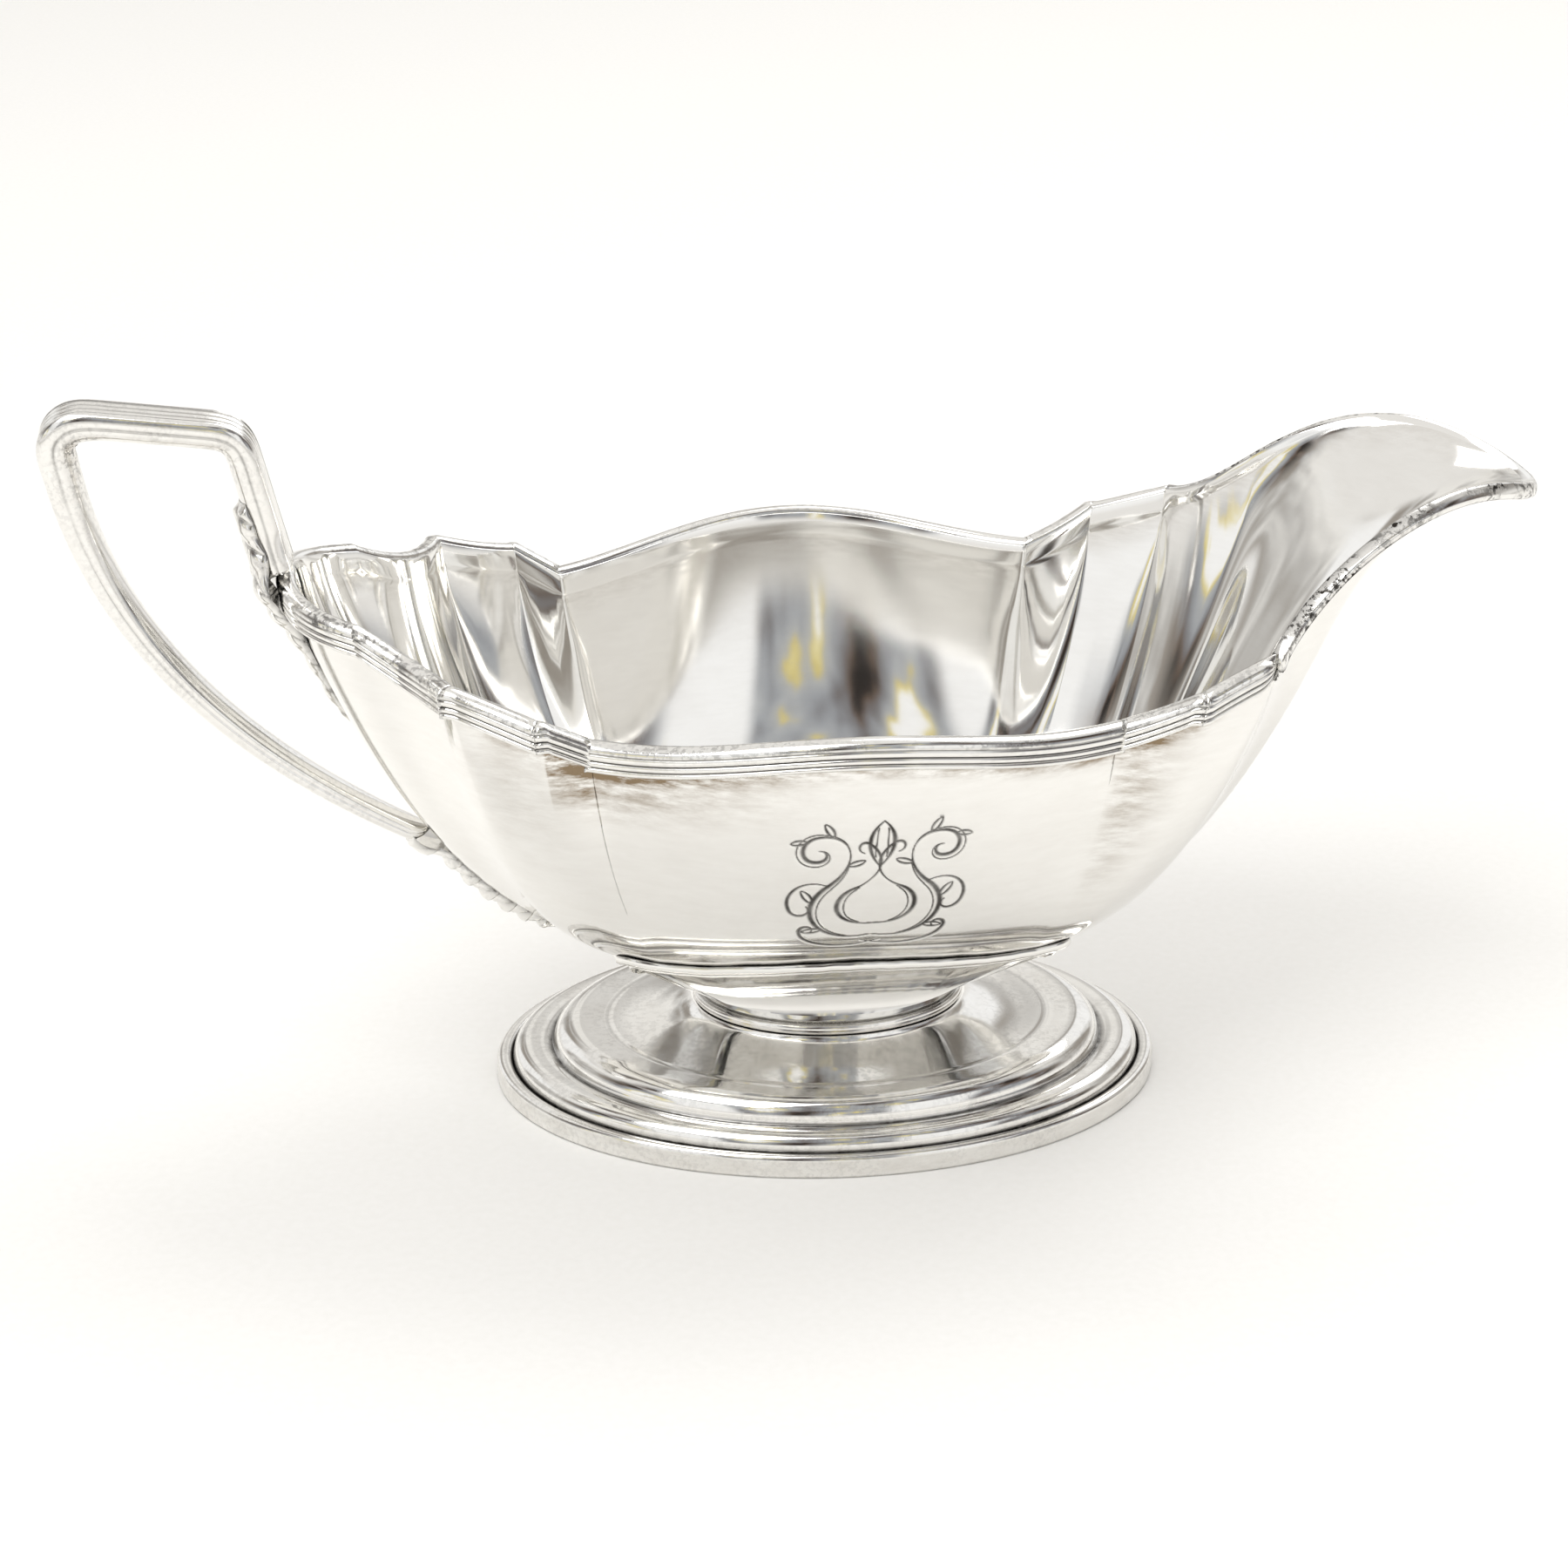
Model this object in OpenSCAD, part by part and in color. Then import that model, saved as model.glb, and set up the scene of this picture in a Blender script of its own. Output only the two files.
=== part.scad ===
// Panelled oval sauce boat on a stepped pedestal foot, with a reeded rim, an open spout
// and an angular loop handle held to the heel by two leaves.
// Millimetres. Origin: on the table, at the middle of the part's whole length. +X spout,
// -X handle, +Z up, -Y the engraved front. Shapes are drawn about the foot's centre first.

/* [Mouth of the bowl] */
// Reach of the mouth from the foot's centre back to the heel
heel_reach = 71; // [60:0.5:88]
// Reach of the mouth from the foot's centre forward to the shoulders
shoulder_reach = 51.5; // [43:0.5:62]
// Length of the spout beyond the shoulders
spout_length = 43; // [36:0.5:52]
// Width of the mouth across the middle of the sides
mouth_width = 82; // [68:0.5:99]
// Width of the spout where it leaves the shoulders
throat_width = 49; // [38:0.5:54]
// Height of the rim at the middle of the sides
rim_height = 67.8; // [60:0.5:82]
// Rise of the rim from the sides to the heel
heel_rise = 9.5; // [4:0.5:14]
// Rise of the lip from the sides to the tip of the spout
tip_rise = 16.6; // [8:0.5:22]
// Height that the spout's lip arches above a straight line
lip_arch = 8; // [4:0.5:11]

/* [Bowl wall] */
// Thickness of the raised sheet
wall = 1; // [0.7:0.05:1.4]
// Height of the bowl's flat underside above the table
well_height = 24; // [19:0.5:29]
// Length of the flat underside, where the collar is soldered on
well_length = 71; // [58:0.5:80]
// Width of the flat underside
well_width = 37; // [30:0.5:44]

/* [Rim wires] */
// Width of the reeded wire, seen from above
wire_width = 2.7; // [2:0.05:3.3]
// Height of the reeded wire
wire_height = 4; // [3.2:0.1:5]
// Reeds on the wire's outer face
reed_count = 3; // [2:1:4]
// Depth of the grooves between the reeds
groove_depth = 0.4; // [0.2:0.05:0.6]
// Thickness of the lip wire round the spout, measured through the wall
lip_width = 1.9; // [1.4:0.05:2.4]
// Height of the lip wire
lip_height = 2.2; // [1.6:0.1:3]

/* [Handle] */
// Distance that the handle stands out behind the heel
handle_out = 32; // [26:0.5:40]
// Height of the handle's outer corner above the heel's rim
handle_up = 22.6; // [18:0.5:27]
// Width of the strap at the grip
strap_width = 7; // [5.5:0.1:8.5]
// Width of the strap where it joins the lower leaf
tail_width = 5; // [4:0.1:6]
// Thickness of the strap at the outer corner
strap_thick = 5; // [4:0.1:6]
// Thickness of the strap where it joins the lower leaf
tail_thick = 2.4; // [2:0.1:3.2]
// Least radius of the strap's two corners
corner_radius = 4.5; // [3:0.1:8]

/* [Leaves] */
// Thickness of the leaves along their midrib
leaf_thick = 1.6; // [1:0.1:2.2]
// Length of the upper leaf below the rim wire
upper_leaf_length = 20; // [14:0.5:26]
// Half the width of the upper leaf over the rim wire
leaf_spread = 5; // [4:0.1:6]
// Lobes along each edge of a leaf
leaf_lobes = 5; // [3:1:7]

/* [Foot] */
// Length of the foot's base band
foot_length = 92; // [78:0.5:108]
// Width of the foot's base band
foot_width = 64; // [54:0.5:76]
// Height of the base band
band_height = 3.2; // [2.4:0.1:4]
// Width of the base band's rim, seen from above
band_width = 2.2; // [1.6:0.1:3]
// Height of the foot, from the table to the stem ring
foot_height = 11; // [9:0.5:14]
// Length of the oval stem
stem_length = 36; // [30:0.5:42]
// Thickness of the foot's sheet
foot_wall = 1; // [0.8:0.05:1.3]
// Height of the beaded ring round the stem
ring_height = 1.6; // [1.2:0.1:2.2]

/* [Joints] */
// Thickness of the solder film between soldered pieces
solder_film = 0.05; // [0.02:0.01:0.1]

/* [Hidden] */

half_mouth = mouth_width / 2;
throat_x = shoulder_reach + 4;
tip_x = shoulder_reach + spout_length;
tip_z = rim_height + tip_rise;
heel_z = rim_height + heel_rise;

// Corners of the mouth, from the heel to the throat of the spout: [x, y, z].
// A panel of the bowl lies between each corner and the next.
CORNERS = [
    [-heel_reach, 0, heel_z],                                                   // heel
    [-0.885 * heel_reach, 0.34 * half_mouth, rim_height + 0.66 * heel_rise],    // heel fold
    [-0.725 * heel_reach, 0.645 * half_mouth, rim_height + 0.28 * heel_rise],   // heel mitre
    [-0.58 * heel_reach, 0.755 * half_mouth, rim_height - 0.5],                 // side mitre
    [-0.493 * heel_reach, 0.718 * half_mouth, rim_height - 3.8],                // side bend
    [0.62 * shoulder_reach, 0.788 * half_mouth, rim_height - 2.6],              // side bend
    [0.81 * shoulder_reach, 0.85 * half_mouth, rim_height + 0.11 * tip_rise],   // shoulder mitre
    [shoulder_reach, 0.765 * half_mouth, rim_height + 0.32 * tip_rise],         // shoulder
    [throat_x, throat_width / 2, rim_height + 0.45 * tip_rise]                  // throat
];
// How far each panel's middle stands out (+) or in (-), and how far its rim arches up
SWELLS = [2.8, -1.8, -0.4, 0, 0.25 * half_mouth, -0.2, -0.2, 0];
ARCHES = [0, -1.3, -0.2, 0, 3.4, -0.3, 0, 0];
// Angle round the oval underside at which each corner's fold ends, from the heel
FOLD_ANGLES = [0, 6, 17, 46, 58, 120, 134, 160, 170, 180];
SPOUT = 8;                          // number of the spout's panel, after the eight of the belly
PANEL_STEPS = [5, 5, 4, 3, 16, 3, 4, 3, 14];
WALL_STEPS = 12;
WELL_POWER = 2.6;                   // squareness of the underside's oval
LEAF_STEPS = 20;

function swell_at(u, p) = pow(max(0, 4 * u * (1 - u)), p);
function bezier(a, b, c, d, s) =
    pow(1 - s, 3) * a + 3 * s * pow(1 - s, 2) * b + 3 * s * s * (1 - s) * c + pow(s, 3) * d;
function unit(v) = v / norm(v);
function outward(a, b) = let (d = unit([b[0] - a[0], b[1] - a[1], 0])) [-d[1], d[0], 0];
function mirrored(p) = [p[0], -p[1], p[2]];

// Top inner edge of the mouth on the +Y side; t runs from 0 at the heel to 9 at the tip
function belly_edge(t) = let (
        i = min(SPOUT - 1, floor(t)), u = t - i, a = CORNERS[i], b = CORNERS[i + 1],
        p = i == 4 ? 1.15 : 1, q = i == 4 ? 2.5 : 1)
    a + (b - a) * u + SWELLS[i] * swell_at(u, p) * outward(a, b) + [0, 0, ARCHES[i] * swell_at(u, q)];
function lip_edge(v) = let (u = 1 - pow(1 - v, 1.8), a = CORNERS[SPOUT])
    [a[0] + (tip_x - a[0]) * u, a[1] * sqrt(max(0, 1 - pow(u, 1.1))),
     a[2] + (tip_z - a[2]) * u + lip_arch * swell_at(u, 1)];
function half_edge(t) = t <= SPOUT ? belly_edge(t) : lip_edge(min(1, t - SPOUT));
// The whole edge: t from -9 to 9, negative on the -Y side
function edge(t) = t >= 0 ? half_edge(t) : mirrored(half_edge(-t));
function edge_run(t) = unit(edge(min(9, t + 0.04)) - edge(max(-9, t - 0.04)));

// Oval of the underside; the panels' folds run down to it
function fold_angle(t) = let (i = min(8, floor(t)), u = t - i)
    FOLD_ANGLES[i] + (FOLD_ANGLES[i + 1] - FOLD_ANGLES[i]) * u;
function oval(length, width, power, angle) =
    [-length / 2 * sign(cos(angle)) * pow(abs(cos(angle)), 2 / power),
     width / 2 * sign(sin(angle)) * pow(abs(sin(angle)), 2 / power)];
function well_edge(t, inset) = let (
        p = oval(well_length - 2 * inset, well_width - 2 * inset, WELL_POWER, sign(t) * fold_angle(abs(t))))
    [p[0], p[1], well_height + inset];

// How much a wall leans over into the open trough of the spout: 0 on the belly, 1 at the tip
function trough(t) = let (v = max(0, abs(t) - SPOUT), u = 1 - pow(1 - v, 1.8)) pow(u, 1.2);
// Height that the rim's wire takes above the top of the sheet
function wire_depth(t) = abs(t) <= SPOUT - 1 ? wire_height
    : lip_height + (wire_height - lip_height) * max(0, SPOUT - abs(t));
// Direction in which the wall reaches the rim
function wall_run(t) = let (
        lean = [edge(t)[0] - well_edge(t, wall)[0], edge(t)[1] - well_edge(t, wall)[1], 0],
        steep = unit(0.12 * lean + [0, 0, 0.35 * (edge(t)[2] - well_height)]), w = trough(t))
    unit((1 - w) * steep + w * unit(lean));
// Normal of the wall at the rim, pointing out
function rim_out(t) = unit(cross(edge_run(t), wall_run(t))) * -1;

// Inside of the bowl: t round the mouth, s from the underside (0) to the top of the sheet (1)
function inside(t, s) = let (
        top = edge(t) - wire_depth(t) * wall_run(t), foot = well_edge(t, wall), rise = top - foot,
        flat = [rise[0], rise[1], 0], w = trough(t),
        h = max(0, 1 - abs(t) / 2),
        low = foot + (0.42 - 0.04 * w + 0.05 * h) * flat + [0, 0, (0.12 - 0.08 * w - 0.05 * h) * rise[2]],
        reach = (1 - w) * (1 - 0.3 * h) * norm([0.12 * norm(flat), 0.35 * rise[2]]) + w * 0.55 * norm(flat),
        high = top - reach * wall_run(t))
    bezier(foot, low, high, top, s);
function wall_out(t, s) = let (
        a = inside(max(-9, t - 0.05), s), b = inside(min(9, t + 0.05), s),
        c = inside(t, max(0, s - 0.02)), d = inside(t, min(1, s + 0.02)))
    unit(cross(d - c, b - a));
// Outside of the bowl, or a surface a little further out
function outside(t, s, out) =
    s >= 1 ? inside(t, 1) + (wall + out) * rim_out(t)
    : s <= 0 ? inside(t, 0) - [0, 0, wall + out]
    : inside(t, s) + (wall + out) * wall_out(t, s);

function half_steps(from, to) =
    [for (i = [from:to]) for (k = [0:PANEL_STEPS[i] - 1]) i + k / PANEL_STEPS[i]];
HALF = concat(half_steps(0, SPOUT), [9]);
RING = concat(HALF, [for (k = [len(HALF) - 2:-1:1]) -HALF[k]]);

// Faces of a tube of rings of n points each; closed joins the last ring to the first
function tube_faces(rings, n, closed = false) =
    [for (r = [0:rings - (closed ? 1 : 2)]) for (k = [0:n - 1]) let (
        l = (k + 1) % n, q = (r + 1) % rings, a = r * n + k, b = r * n + l, c = q * n + l, d = q * n + k)
        each [[a, b, c], [a, c, d]]];
function end_faces(rings, n) = [
    [for (k = [n - 1:-1:0]) k],
    [for (k = [0:n - 1]) (rings - 1) * n + k]];
function flipped(faces) = [for (f = faces) [for (k = [len(f) - 1:-1:0]) f[k]]];

// Outer face of the reeded wire, from bottom to top: [height, width]. The crown rounds over at the top.
reed_zone = 0.72 * wire_height;
REED_LEVELS = concat(
    [for (k = [0:2 * reed_count]) [reed_zone * k / (2 * reed_count),
        wire_width - (k % 2 == 0 ? groove_depth : 0) - (k == 0 ? 0.3 : 0)]],
    [[0.85 * wire_height, wire_width], [0.95 * wire_height, wire_width - 0.25],
     [wire_height, wire_width - 0.7]]);
// The lip wire's, as shares of its height
LIP_LEVELS = [[0, lip_width - 0.3], [0.25, lip_width], [0.42, lip_width - 0.2], [0.6, lip_width],
    [0.9, lip_width], [1, lip_width - 0.35]];

// Outer (reeded) face of the handle's strap in the XZ plane, from the heel's rim over its two
// corners and down to the tail, where it lands on the heel's wall
TAIL_AT = 0.38;
strap_root = [-heel_reach, heel_z + solder_film];
strap_inner = [-heel_reach - 0.15 * handle_out, heel_z + 0.86 * handle_up];
strap_outer = [-heel_reach - handle_out, heel_z + handle_up];
tail_point = outside(0, TAIL_AT, solder_film + tail_thick);
tail_out = wall_out(0, TAIL_AT);
strap_tail = [tail_point[0], tail_point[2]];
corner_turn = max(corner_radius, strap_thick + 0.4);
arm_start = strap_outer + [0.012, -0.2] * handle_out;
arm_pull = strap_outer + [0.05, -0.95] * handle_out;
tail_pull = strap_tail + [-0.8, 0.4] * handle_out;
function corner_arc(a, b, c, r, steps) = let (
        p = unit(a - b), q = unit(c - b), half = acos(p * q) / 2,
        mid = b + unit(p + q) * r / sin(half), from = b + p * r / tan(half) - mid)
    [for (k = [0:steps]) let (w = (180 - 2 * half) * k / steps)
        mid + [from[0] * cos(w) - from[1] * sin(w), from[0] * sin(w) + from[1] * cos(w)]];
STRAP = concat(
    [strap_root],
    [for (k = [1:4]) strap_root + (strap_inner - strap_root) * k / 5],
    corner_arc(strap_root, strap_inner, strap_outer, corner_turn, 6),
    [for (k = [1:3]) strap_inner + (strap_outer - strap_inner) * (0.22 + 0.56 * k / 4)],
    corner_arc(strap_inner, strap_outer, arm_start, corner_turn, 6),
    [for (k = [1:22]) bezier(strap_outer, arm_pull, tail_pull, strap_tail, 0.07 + 0.93 * k / 22)]);

// The part's whole length runs from the strap's outer face to the lip wire's face at the tip
tip_face = [for (l = LIP_LEVELS) (inside(9, 1) + l[0] * wire_depth(9) * wall_run(9) + l[1] * rim_out(9))[0]];
frame_x = -(min([for (p = STRAP) p[0]]) + max(tip_face)) / 2;
module placed() translate([frame_x, 0, 0]) color("silver") children();

module bowl() {
    n = len(RING);
    rows = concat(
        [for (j = [0:WALL_STEPS]) [for (t = RING) outside(t, j / WALL_STEPS, 0)]],
        [for (j = [WALL_STEPS:-1:0]) [for (t = RING) inside(t, j / WALL_STEPS)]]);
    faces = tube_faces(len(rows), n);
    outer_mid = len(rows) * n;
    inner_mid = outer_mid + 1;
    last = (len(rows) - 1) * n;
    floors = concat(
        [for (k = [0:n - 1]) [(k + 1) % n, k, outer_mid]],
        [for (k = [0:n - 1]) [last + k, last + (k + 1) % n, inner_mid]]);
    points = concat([for (r = rows) each r], [[0, 0, well_height], [0, 0, well_height + wall]]);
    placed() polyhedron(points, concat(faces, floors), convexity = 8);
}

// A rim wire over the stations in ts: its foot stands on the sheet's top edge, a solder film above it
module rim_wire(ts, levels, relative) {
    m = len(levels);
    n = 2 * m;
    rings = [for (t = ts) let (
            depth = wire_depth(t), scale_up = relative ? depth : 1, base = inside(t, 1),
            up = wall_run(t), out = rim_out(t))
        concat(
            [for (k = [0:m - 1]) base + max(solder_film, levels[k][0] * scale_up) * up + levels[k][1] * out],
            [for (k = [m - 1:-1:0]) base + max(solder_film, levels[k][0] * scale_up) * up])];
    last = (len(ts) - 1) * n;
    caps = [for (k = [0:m - 2]) each [
        [k, n - 1 - k, n - 2 - k], [k, n - 2 - k, k + 1],
        [last + k, last + n - 2 - k, last + n - 1 - k], [last + k, last + k + 1, last + n - 2 - k]]];
    placed()
        polyhedron([for (r = rings) each r], flipped(concat(tube_faces(len(ts), n), caps)), convexity = 6);
}

// Stations of a wire between two corners, pulled in at both ends by half a solder film
function wire_steps(from, to) = let (
        gap_a = solder_film / 2 / norm(edge(from + 0.1) - edge(from)) * 0.1,
        gap_b = solder_film / 2 / norm(edge(to) - edge(to - 0.1)) * 0.1,
        mid = [for (t = half_steps(floor(from), to - 1)) if (t > from) t])
    concat([from + gap_a], mid, [to - gap_b]);
function on_side(ts, side) = side == "back" ? ts : [for (k = [len(ts) - 1:-1:0]) -ts[k]];

module heel_wire(side) rim_wire(on_side(wire_steps(0, 2), side), REED_LEVELS, false);
module corner_wire(side) rim_wire(on_side(wire_steps(2, 3), side), REED_LEVELS, false);
module side_wire(side) rim_wire(on_side(wire_steps(3, 6), side), REED_LEVELS, false);
module shoulder_wire(side) rim_wire(on_side(wire_steps(6, 7), side), REED_LEVELS, false);
module lip_wire() {
    half = wire_steps(7, 9);
    steps = [for (k = [0:len(half) - 2]) half[k]];
    rim_wire(concat(steps, [9], [for (k = [len(steps) - 1:-1:0]) -steps[k]]), LIP_LEVELS, true);
}

ARM_AT = len(STRAP) - 23;           // where the long arm begins

// Direction from the strap's outer face to its inner side; it stands on the rim and lies flat on the wall
function strap_normal(k) = let (n = len(STRAP) - 1, d = unit(STRAP[min(n, k + 1)] - STRAP[max(0, k - 1)]))
    k == 0 ? [-1, 0] : k == n ? -unit([tail_out[0], tail_out[2]]) : [-d[1], d[0]];
function arm_share(k) = max(0, k - ARM_AT) / (len(STRAP) - 1 - ARM_AT);
function strap_t(k) = k < ARM_AT - 7 ? strap_thick - 0.8
    : strap_thick + (tail_thick - strap_thick) * arm_share(k);
function strap_w(k) = strap_width + (tail_width - strap_width) * arm_share(k);

module handle() {
    edge_round = 0.6;
    rings = [for (k = [0:len(STRAP) - 1]) let (
            w = strap_w(k) / 2, d = strap_t(k), n = strap_normal(k), p = STRAP[k],
            section = concat([[-w + edge_round, 0], [w - edge_round, 0], [w, edge_round]],
                [for (a = [18:18:162]) [w * cos(a), edge_round + (d - edge_round) * sin(a)]],
                [[-w, edge_round]]))
        [for (q = section) [p[0] + n[0] * q[1], q[0], p[1] + n[1] * q[1]]]];
    n = len(rings[0]);
    placed() polyhedron([for (r = rings) each r],
        flipped(concat(tube_faces(len(rings), n), end_faces(len(rings), n))), convexity = 6);
}

// Stations round the mouth per millimetre at the heel, on level s of the wall
function heel_scale(s) = 0.5 / norm(outside(0.5, s, 0) - outside(0, s, 0));
// Half-width of a leaf along its length, as a share: it narrows to its tip in lobes
function leaf_edge(v) =
    (1 - 0.75 * v) * (1 - 0.18 * pow(sin(180 * leaf_lobes * v), 2)) * sqrt(1 - 0.98 * v * v);
LEAF_ACROSS = [-1, -0.66, -0.33, 0, 0.33, 0.66, 1];

// A leaf as a pad of rows; each row holds points across, on its underside and on its face
module leaf(rows) {
    m = len(LEAF_ACROSS);
    n = 2 * m;
    rings = [for (r = rows) concat(r[0], [for (k = [m - 1:-1:0]) r[1][k]])];
    last = (len(rows) - 1) * n;
    caps = [for (k = [0:m - 2]) each [
        [k, n - 1 - k, n - 2 - k], [k, n - 2 - k, k + 1],
        [last + k, last + n - 2 - k, last + n - 1 - k], [last + k, last + k + 1, last + n - 2 - k]]];
    placed()
        polyhedron([for (r = rings) each r], concat(tube_faces(len(rows), n), caps), convexity = 6);
}
function face_lift(x, thick) = thick * (1 - 0.55 * x * x);

// Level of the heel's wall at a height above the table
function heel_level(z, low = 0, high = 1, k = 12) = k == 0 ? (low + high) / 2
    : outside(0, (low + high) / 2, 0)[2] < z ? heel_level(z, (low + high) / 2, high, k - 1)
    : heel_level(z, low, (low + high) / 2, k - 1);
module upper_leaf() {
    top_half = leaf_spread * heel_scale(1);
    // its top edge is level, right under the handle's foot
    over_wire = [for (share = [1, 0.5, 0]) [for (lift = [0, 1])
        [for (x = LEAF_ACROSS) let (
                t = x * top_half, out = wire_width + solder_film + lift * face_lift(x, leaf_thick),
                foot = inside(t, 1) + out * rim_out(t))
            foot + share * (heel_z - foot[2]) / wall_run(t)[2] * wall_run(t)]]];
    end_level = heel_level(outside(0, 1, 0)[2] - upper_leaf_length);
    down_wall = [for (k = [1:LEAF_STEPS]) let (
            v = k / LEAF_STEPS, s = 1 - (1 - end_level) * v, lie = max(0, wire_width - wall) * pow(1 - v, 6),
            half = leaf_spread * leaf_edge(v) * heel_scale(s))
        [for (lift = [0, 1]) [for (x = LEAF_ACROSS)
            outside(x * half, s, solder_film + lie + lift * face_lift(x, leaf_thick * (1 - 0.5 * v)))]]];
    leaf(concat(over_wire, down_wall));
}
module lower_leaf() {
    around_tail = outside(0, TAIL_AT + 0.01, 0) - outside(0, TAIL_AT - 0.01, 0);
    first = TAIL_AT - solder_film / (norm(around_tail) / 0.02);
    rows = [for (k = [0:LEAF_STEPS]) let (
            v = k / LEAF_STEPS, s = first - (first - 0.03) * v,
            half = (tail_width / 2 + 1.2 * sin(180 * pow(v, 0.7))) * leaf_edge(v * 0.96) * heel_scale(s))
        [for (lift = [0, 1]) [for (x = LEAF_ACROSS)
            outside(x * half, s, solder_film + lift * face_lift(x, tail_thick + (1.2 - tail_thick) * v))]]];
    leaf(rows);
}

// The foot and the stem are ovals of one shape
foot_squash = foot_width / foot_length;
ring_foot = foot_height + solder_film;
collar_foot = ring_foot + ring_height + solder_film;
COLLAR_STEPS = 8;
COLLAR_ROUND = 72;

function collar_ring(v, inset) = let (
        length = stem_length + (well_length - wall - stem_length) * v * v - 2 * inset,
        waist = stem_length * foot_squash, width = waist + (well_width - wall - waist) * v * v - 2 * inset,
        z = collar_foot + (well_height - solder_film - collar_foot) * v, power = 2 + (WELL_POWER - 2) * v)
    [for (k = [0:COLLAR_ROUND - 1]) concat(oval(length, width, power, 360 * k / COLLAR_ROUND), [z])];
module collar() {
    rows = concat([for (j = [0:COLLAR_STEPS]) collar_ring(j / COLLAR_STEPS, 0)],
        [for (j = [COLLAR_STEPS:-1:0]) collar_ring(j / COLLAR_STEPS, wall)]);
    placed() polyhedron([for (r = rows) each r],
        tube_faces(len(rows), COLLAR_ROUND, true), convexity = 6);
}

module oval_turning(profile) placed() scale([1, foot_squash, 1]) rotate_extrude($fn = 72) polygon(profile);
module stem_ring() {
    bead = ring_height / 2;
    oval_turning(concat([[stem_length / 2 - wall, ring_foot]],
        [for (a = [-90:30:90]) [stem_length / 2 + bead * cos(a), ring_foot + bead * (1 + sin(a))]],
        [[stem_length / 2 - wall, ring_foot + ring_height]]));
}

shell_reach = foot_length / 2 - band_width - solder_film;
dome_reach = shell_reach - 6;
stem_reach = stem_length / 2 + ring_height / 2;
dome_foot = band_height + 2.2;
dome_rise = foot_height - dome_foot;
// Foot shell from its edge to the stem: a rounded ledge, a groove, then a dome that necks in to the stem
SHELL = concat(
    [[shell_reach, 0.3], [shell_reach, band_height]],
    [for (a = [30:30:90]) [shell_reach - 1.6 * (1 - cos(a)), band_height + 1.6 * sin(a)]],
    [[shell_reach - 3.4, band_height + 1.65], [shell_reach - 4.8, band_height + 1.4],
     [dome_reach + 0.4, band_height + 1.1]],
    [for (a = [0:30:90]) [dome_reach - 3.4 * (1 - cos(a)), dome_foot + 0.36 * dome_rise * sin(a)]],
    [for (k = [1:6]) let (v = k / 6) [
        dome_reach - 3.4 + (stem_reach - dome_reach + 3.4) * (1 - pow(1 - v, 1.6)),
        dome_foot + dome_rise * (0.36 + 0.64 * pow(v, 2.2))]]);
function shell_normal(k) = let (
        last = len(SHELL) - 1, d = unit(SHELL[min(last, k + 1)] - SHELL[max(0, k - 1)])) [-d[1], d[0]];
module foot_shell() {
    n = len(SHELL) - 1;
    inner = [for (k = [n - 1:-1:1]) SHELL[k] + foot_wall * shell_normal(k)];
    oval_turning(concat(SHELL, [[SHELL[n][0] - 1.6, foot_height]], inner,
        [[shell_reach - foot_wall, 0.3]]));
}
module foot_band() {
    reach = foot_length / 2;
    oval_turning(concat([[reach - band_width, 0], [reach, 0]],
        [for (a = [0:22.5:90]) [reach - 0.9 * (1 - cos(a)), band_height - 0.9 + 0.9 * sin(a)]],
        [[reach - band_width + 0.5, band_height], [reach - band_width, band_height - 0.5]]));
}

bowl();
heel_wire("front");  // heel_wire_front
heel_wire("back");  // heel_wire_back
corner_wire("front");  // corner_wire_front
corner_wire("back");  // corner_wire_back
side_wire("front");  // side_wire_front
side_wire("back");  // side_wire_back
shoulder_wire("front");  // shoulder_wire_front
shoulder_wire("back");  // shoulder_wire_back
lip_wire();
handle();
upper_leaf();
lower_leaf();
collar();
stem_ring();
foot_shell();
foot_band();
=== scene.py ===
"""Sterling silver sauce boat: panelled bowl, reeded rim, open spout, strap handle, stepped foot.

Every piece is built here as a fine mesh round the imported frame. Shapes are drawn in
millimetres about the foot's centre, then moved and turned into metres when a piece is made.
"""

import logging
import math
from collections.abc import Callable, Sequence
from dataclasses import dataclass, field
from enum import Enum
from functools import cached_property

import bmesh
import bpy
import numpy as np
from mathutils import Matrix, Vector


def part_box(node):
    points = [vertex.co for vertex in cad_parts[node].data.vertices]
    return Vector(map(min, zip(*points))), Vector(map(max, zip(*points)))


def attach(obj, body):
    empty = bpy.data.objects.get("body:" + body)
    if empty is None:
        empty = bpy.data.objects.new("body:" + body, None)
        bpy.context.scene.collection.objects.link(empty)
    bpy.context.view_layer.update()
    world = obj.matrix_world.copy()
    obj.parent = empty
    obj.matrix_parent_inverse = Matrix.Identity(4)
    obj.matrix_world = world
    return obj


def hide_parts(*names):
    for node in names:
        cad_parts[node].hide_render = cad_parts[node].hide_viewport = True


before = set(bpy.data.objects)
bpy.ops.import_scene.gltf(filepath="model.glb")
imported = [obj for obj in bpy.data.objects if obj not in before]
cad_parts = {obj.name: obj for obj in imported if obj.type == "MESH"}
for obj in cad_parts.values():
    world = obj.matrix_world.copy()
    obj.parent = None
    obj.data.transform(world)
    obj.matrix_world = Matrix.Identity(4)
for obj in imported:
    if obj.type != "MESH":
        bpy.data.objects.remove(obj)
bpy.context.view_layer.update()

LOG = logging.getLogger("sauce_boat")
MM = 0.001                      # one millimetre in Blender's metres
Points = np.ndarray             # (..., 3) positions in millimetres
Levels = np.ndarray             # any array of plain numbers


# ---------------------------------------------------------------- small helpers

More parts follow.
